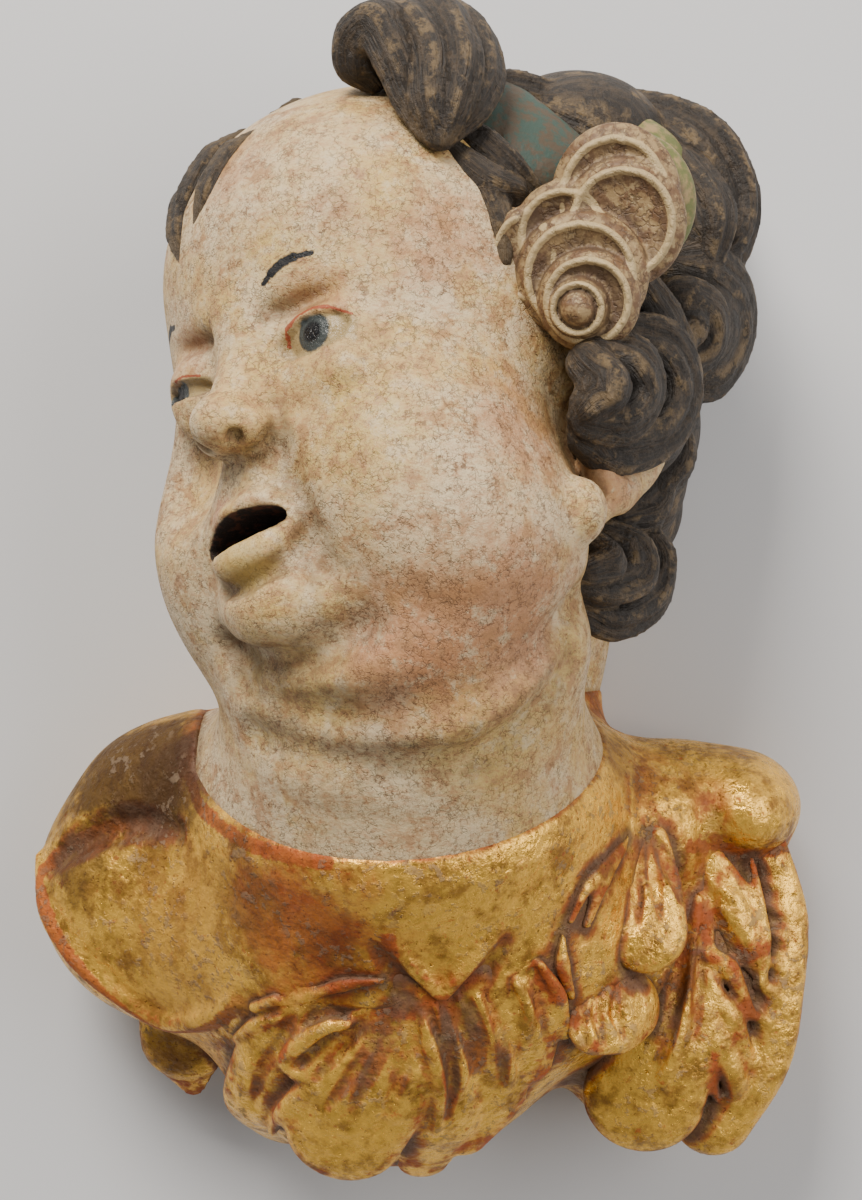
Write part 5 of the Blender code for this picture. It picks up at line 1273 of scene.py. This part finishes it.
def rose_steps():
    """Each petal is a shallow cup with its rim, and the bud stands in the last one."""
    steps = []
    for (across, out, up, wide, tall), rim in zip(PETALS, RIMS):
        steps += added([ball((across, out, up), (wide, 4.5, tall), soft=0.6, place=ROSE)])
        steps += taken([ball((across, out - 4.6, up), (wide * 0.9, 3.2, tall * 0.9), soft=0.4, place=ROSE)])
        steps += added([rim])
    return steps + added([ball((0, -5.5, 0), (3.2, 3.5, 3.2), soft=0.4, place=ROSE)])


def rose_work(p, shader):
    at = p.place()
    ring, hollow = p.mark("ring"), p.mark("hollow")
    tone = p.mix(p.step(p.noise(at, 0.3, 5.0, 0.7), 0.42, 0.58), PETAL, PETAL_BROWN)
    tone = p.mix(p.product(p.step(p.noise(at, 0.4, 4.0, 0.7), 0.56, 0.66), 0.6), tone, PETAL_RIM)
    cracks = p.placed(CRACKLE, place=at, size=1.6, width=0.14, cover=0.4)
    tone = p.mix(p.product(cracks, 0.6), tone, OLD_DIRT_AND_SHADE)
    # the cups and hollows go dark: dirt, and painted shade
    tone = p.mix(p.placed(SHADE_AND_GRIME, place=at, hollow=hollow, amount=0.85), tone, OLD_DIRT_AND_SHADE)
    tone = p.mix(p.placed(RUBBED, place=at, edge=ring, amount=0.75), tone, PETAL_RIM)
    rise = p.maths("ADD", p.product(cracks, -0.5), p.product(p.noise(at, 0.6, 4.0, 0.6), 1.2))
    bump = p.bump(rise, 0.5, 0.0005)
    show(p, shader, base_color=tone, roughness=0.6, normal=bump)


rose = skin("rose", rose_steps(), TRIM_GRAIN)
rim_gap = np.min([rim.depth(corners(rose)) for rim in RIMS], axis=0)
mark(rose, "ring", np.clip(1 - rim_gap / RIM_NEAR, 0, 1))
rose.data.materials.append(finish_of("rose_paint", rose_work))
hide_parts("cherub")
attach(rose, "root")

# Leaf
# One broad leaf lies behind the rose, with a rib down its middle.
# Olive paint over the wood, rubbed to cream along the rib.
LEAF_GREEN = (0.13, 0.14, 0.04, 1)


def leaf_steps():
    """The broad part behind the rose, the tip that stands out above it, and the rib."""
    tip = [(29.5, -50, 87), (35.5, -52, 85), (41, -52, 81), (45, -50, 74.5)]
    rib = [(29, -53, 86.5), (35, -56, 84), (40.5, -56, 80), (44.5, -53, 74)]
    return added([ball((6, 11, 16.5), (12.5, 6, 12.5), soft=0.5, place=ROSE),
                  roll(tip, [3, 6, 6.5, 3], soft=2, flat=0.6, up=(0.3, -0.8, 0.5)),
                  roll(rib, [0.8, 1.2, 1.2, 0.6], soft=1)])


def leaf_work(p, shader):
    at = p.place()
    edge, hollow = p.mark("edge"), p.mark("hollow")
    tone = p.mix(p.step(p.noise(at, 0.3, 5.0, 0.65), 0.42, 0.6), LEAF_GREEN, PETAL)
    tone = p.mix(p.placed(RUBBED, place=at, edge=edge, amount=0.8), tone, PETAL_RIM)
    # the hollows go dark: dirt, and painted shade
    tone = p.mix(p.placed(SHADE_AND_GRIME, place=at, hollow=hollow, amount=0.8), tone, OLD_DIRT_AND_SHADE)
    bump = p.bump(p.noise(at, 0.6, 4.0, 0.6), 0.5, 0.0005)
    show(p, shader, base_color=tone, roughness=0.6, normal=bump)


leaf = skin("leaf", leaf_steps(), TRIM_GRAIN, around=rose_steps())
leaf.data.materials.append(finish_of("leaf_paint", leaf_work))
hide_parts("cherub")
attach(leaf, "root")

# Wall, light and camera
# A pale wall behind, which is not seen from behind, and soft light from above and the left.


def wall_work(p, shader):
    show(p, shader, base_color=(0.62, 0.62, 0.63, 1), roughness=0.9)
    seen = p.tree.nodes.new("ShaderNodeMixShader")
    back = p.node("ShaderNodeNewGeometry", {}, "Backfacing")
    p.tree.links.new(back, seen.inputs[0])
    p.tree.links.new(shader.outputs[0], seen.inputs[1])
    p.tree.links.new(p.node("ShaderNodeBsdfTransparent", {}), seen.inputs[2])
    p.tree.links.new(seen.outputs[0], p.tree.nodes["Material Output"].inputs["Surface"])


bpy.ops.mesh.primitive_plane_add(size=4, location=(0, 0.0015, 0), rotation=(math.pi / 2, 0, 0))
wall = bpy.context.active_object
wall.name = "wall"
wall.data.materials.append(finish_of("pale_wall", wall_work))


def lamp(name, at, size, power, colour=(1, 1, 1)):
    """A square soft light aimed at the carving."""
    data = bpy.data.lights.new(name, "AREA")
    data.size, data.energy, data.color = size, power, colour
    made = bpy.data.objects.new(name, data)
    made.location = at
    made.rotation_euler = (Vector((0, -0.05, 0)) - Vector(at)).to_track_quat("-Z", "Y").to_euler()
    bpy.context.scene.collection.objects.link(made)


lamp("key", (-0.35, -0.75, 0.85), 0.5, 21, (1.0, 0.95, 0.88))
lamp("fill", (0.8, -0.8, 0.2), 0.9, 9, (1.0, 0.97, 0.94))
world = bpy.data.worlds.new("studio")
world.use_nodes = True
world.node_tree.nodes["Background"].inputs["Color"].default_value = (0.80, 0.79, 0.78, 1)
world.node_tree.nodes["Background"].inputs["Strength"].default_value = 0.42
bpy.context.scene.world = world

camera = bpy.data.objects.new("camera", bpy.data.cameras.new("camera"))
camera.location = (0, -0.42, 0)
camera.rotation_euler = (math.pi / 2, 0, 0)
camera.data.sensor_width = 36
camera.data.sensor_fit = "AUTO"
camera.data.lens = 60.23
camera.data.clip_start = 0.01
bpy.context.scene.collection.objects.link(camera)
bpy.context.scene.camera = camera
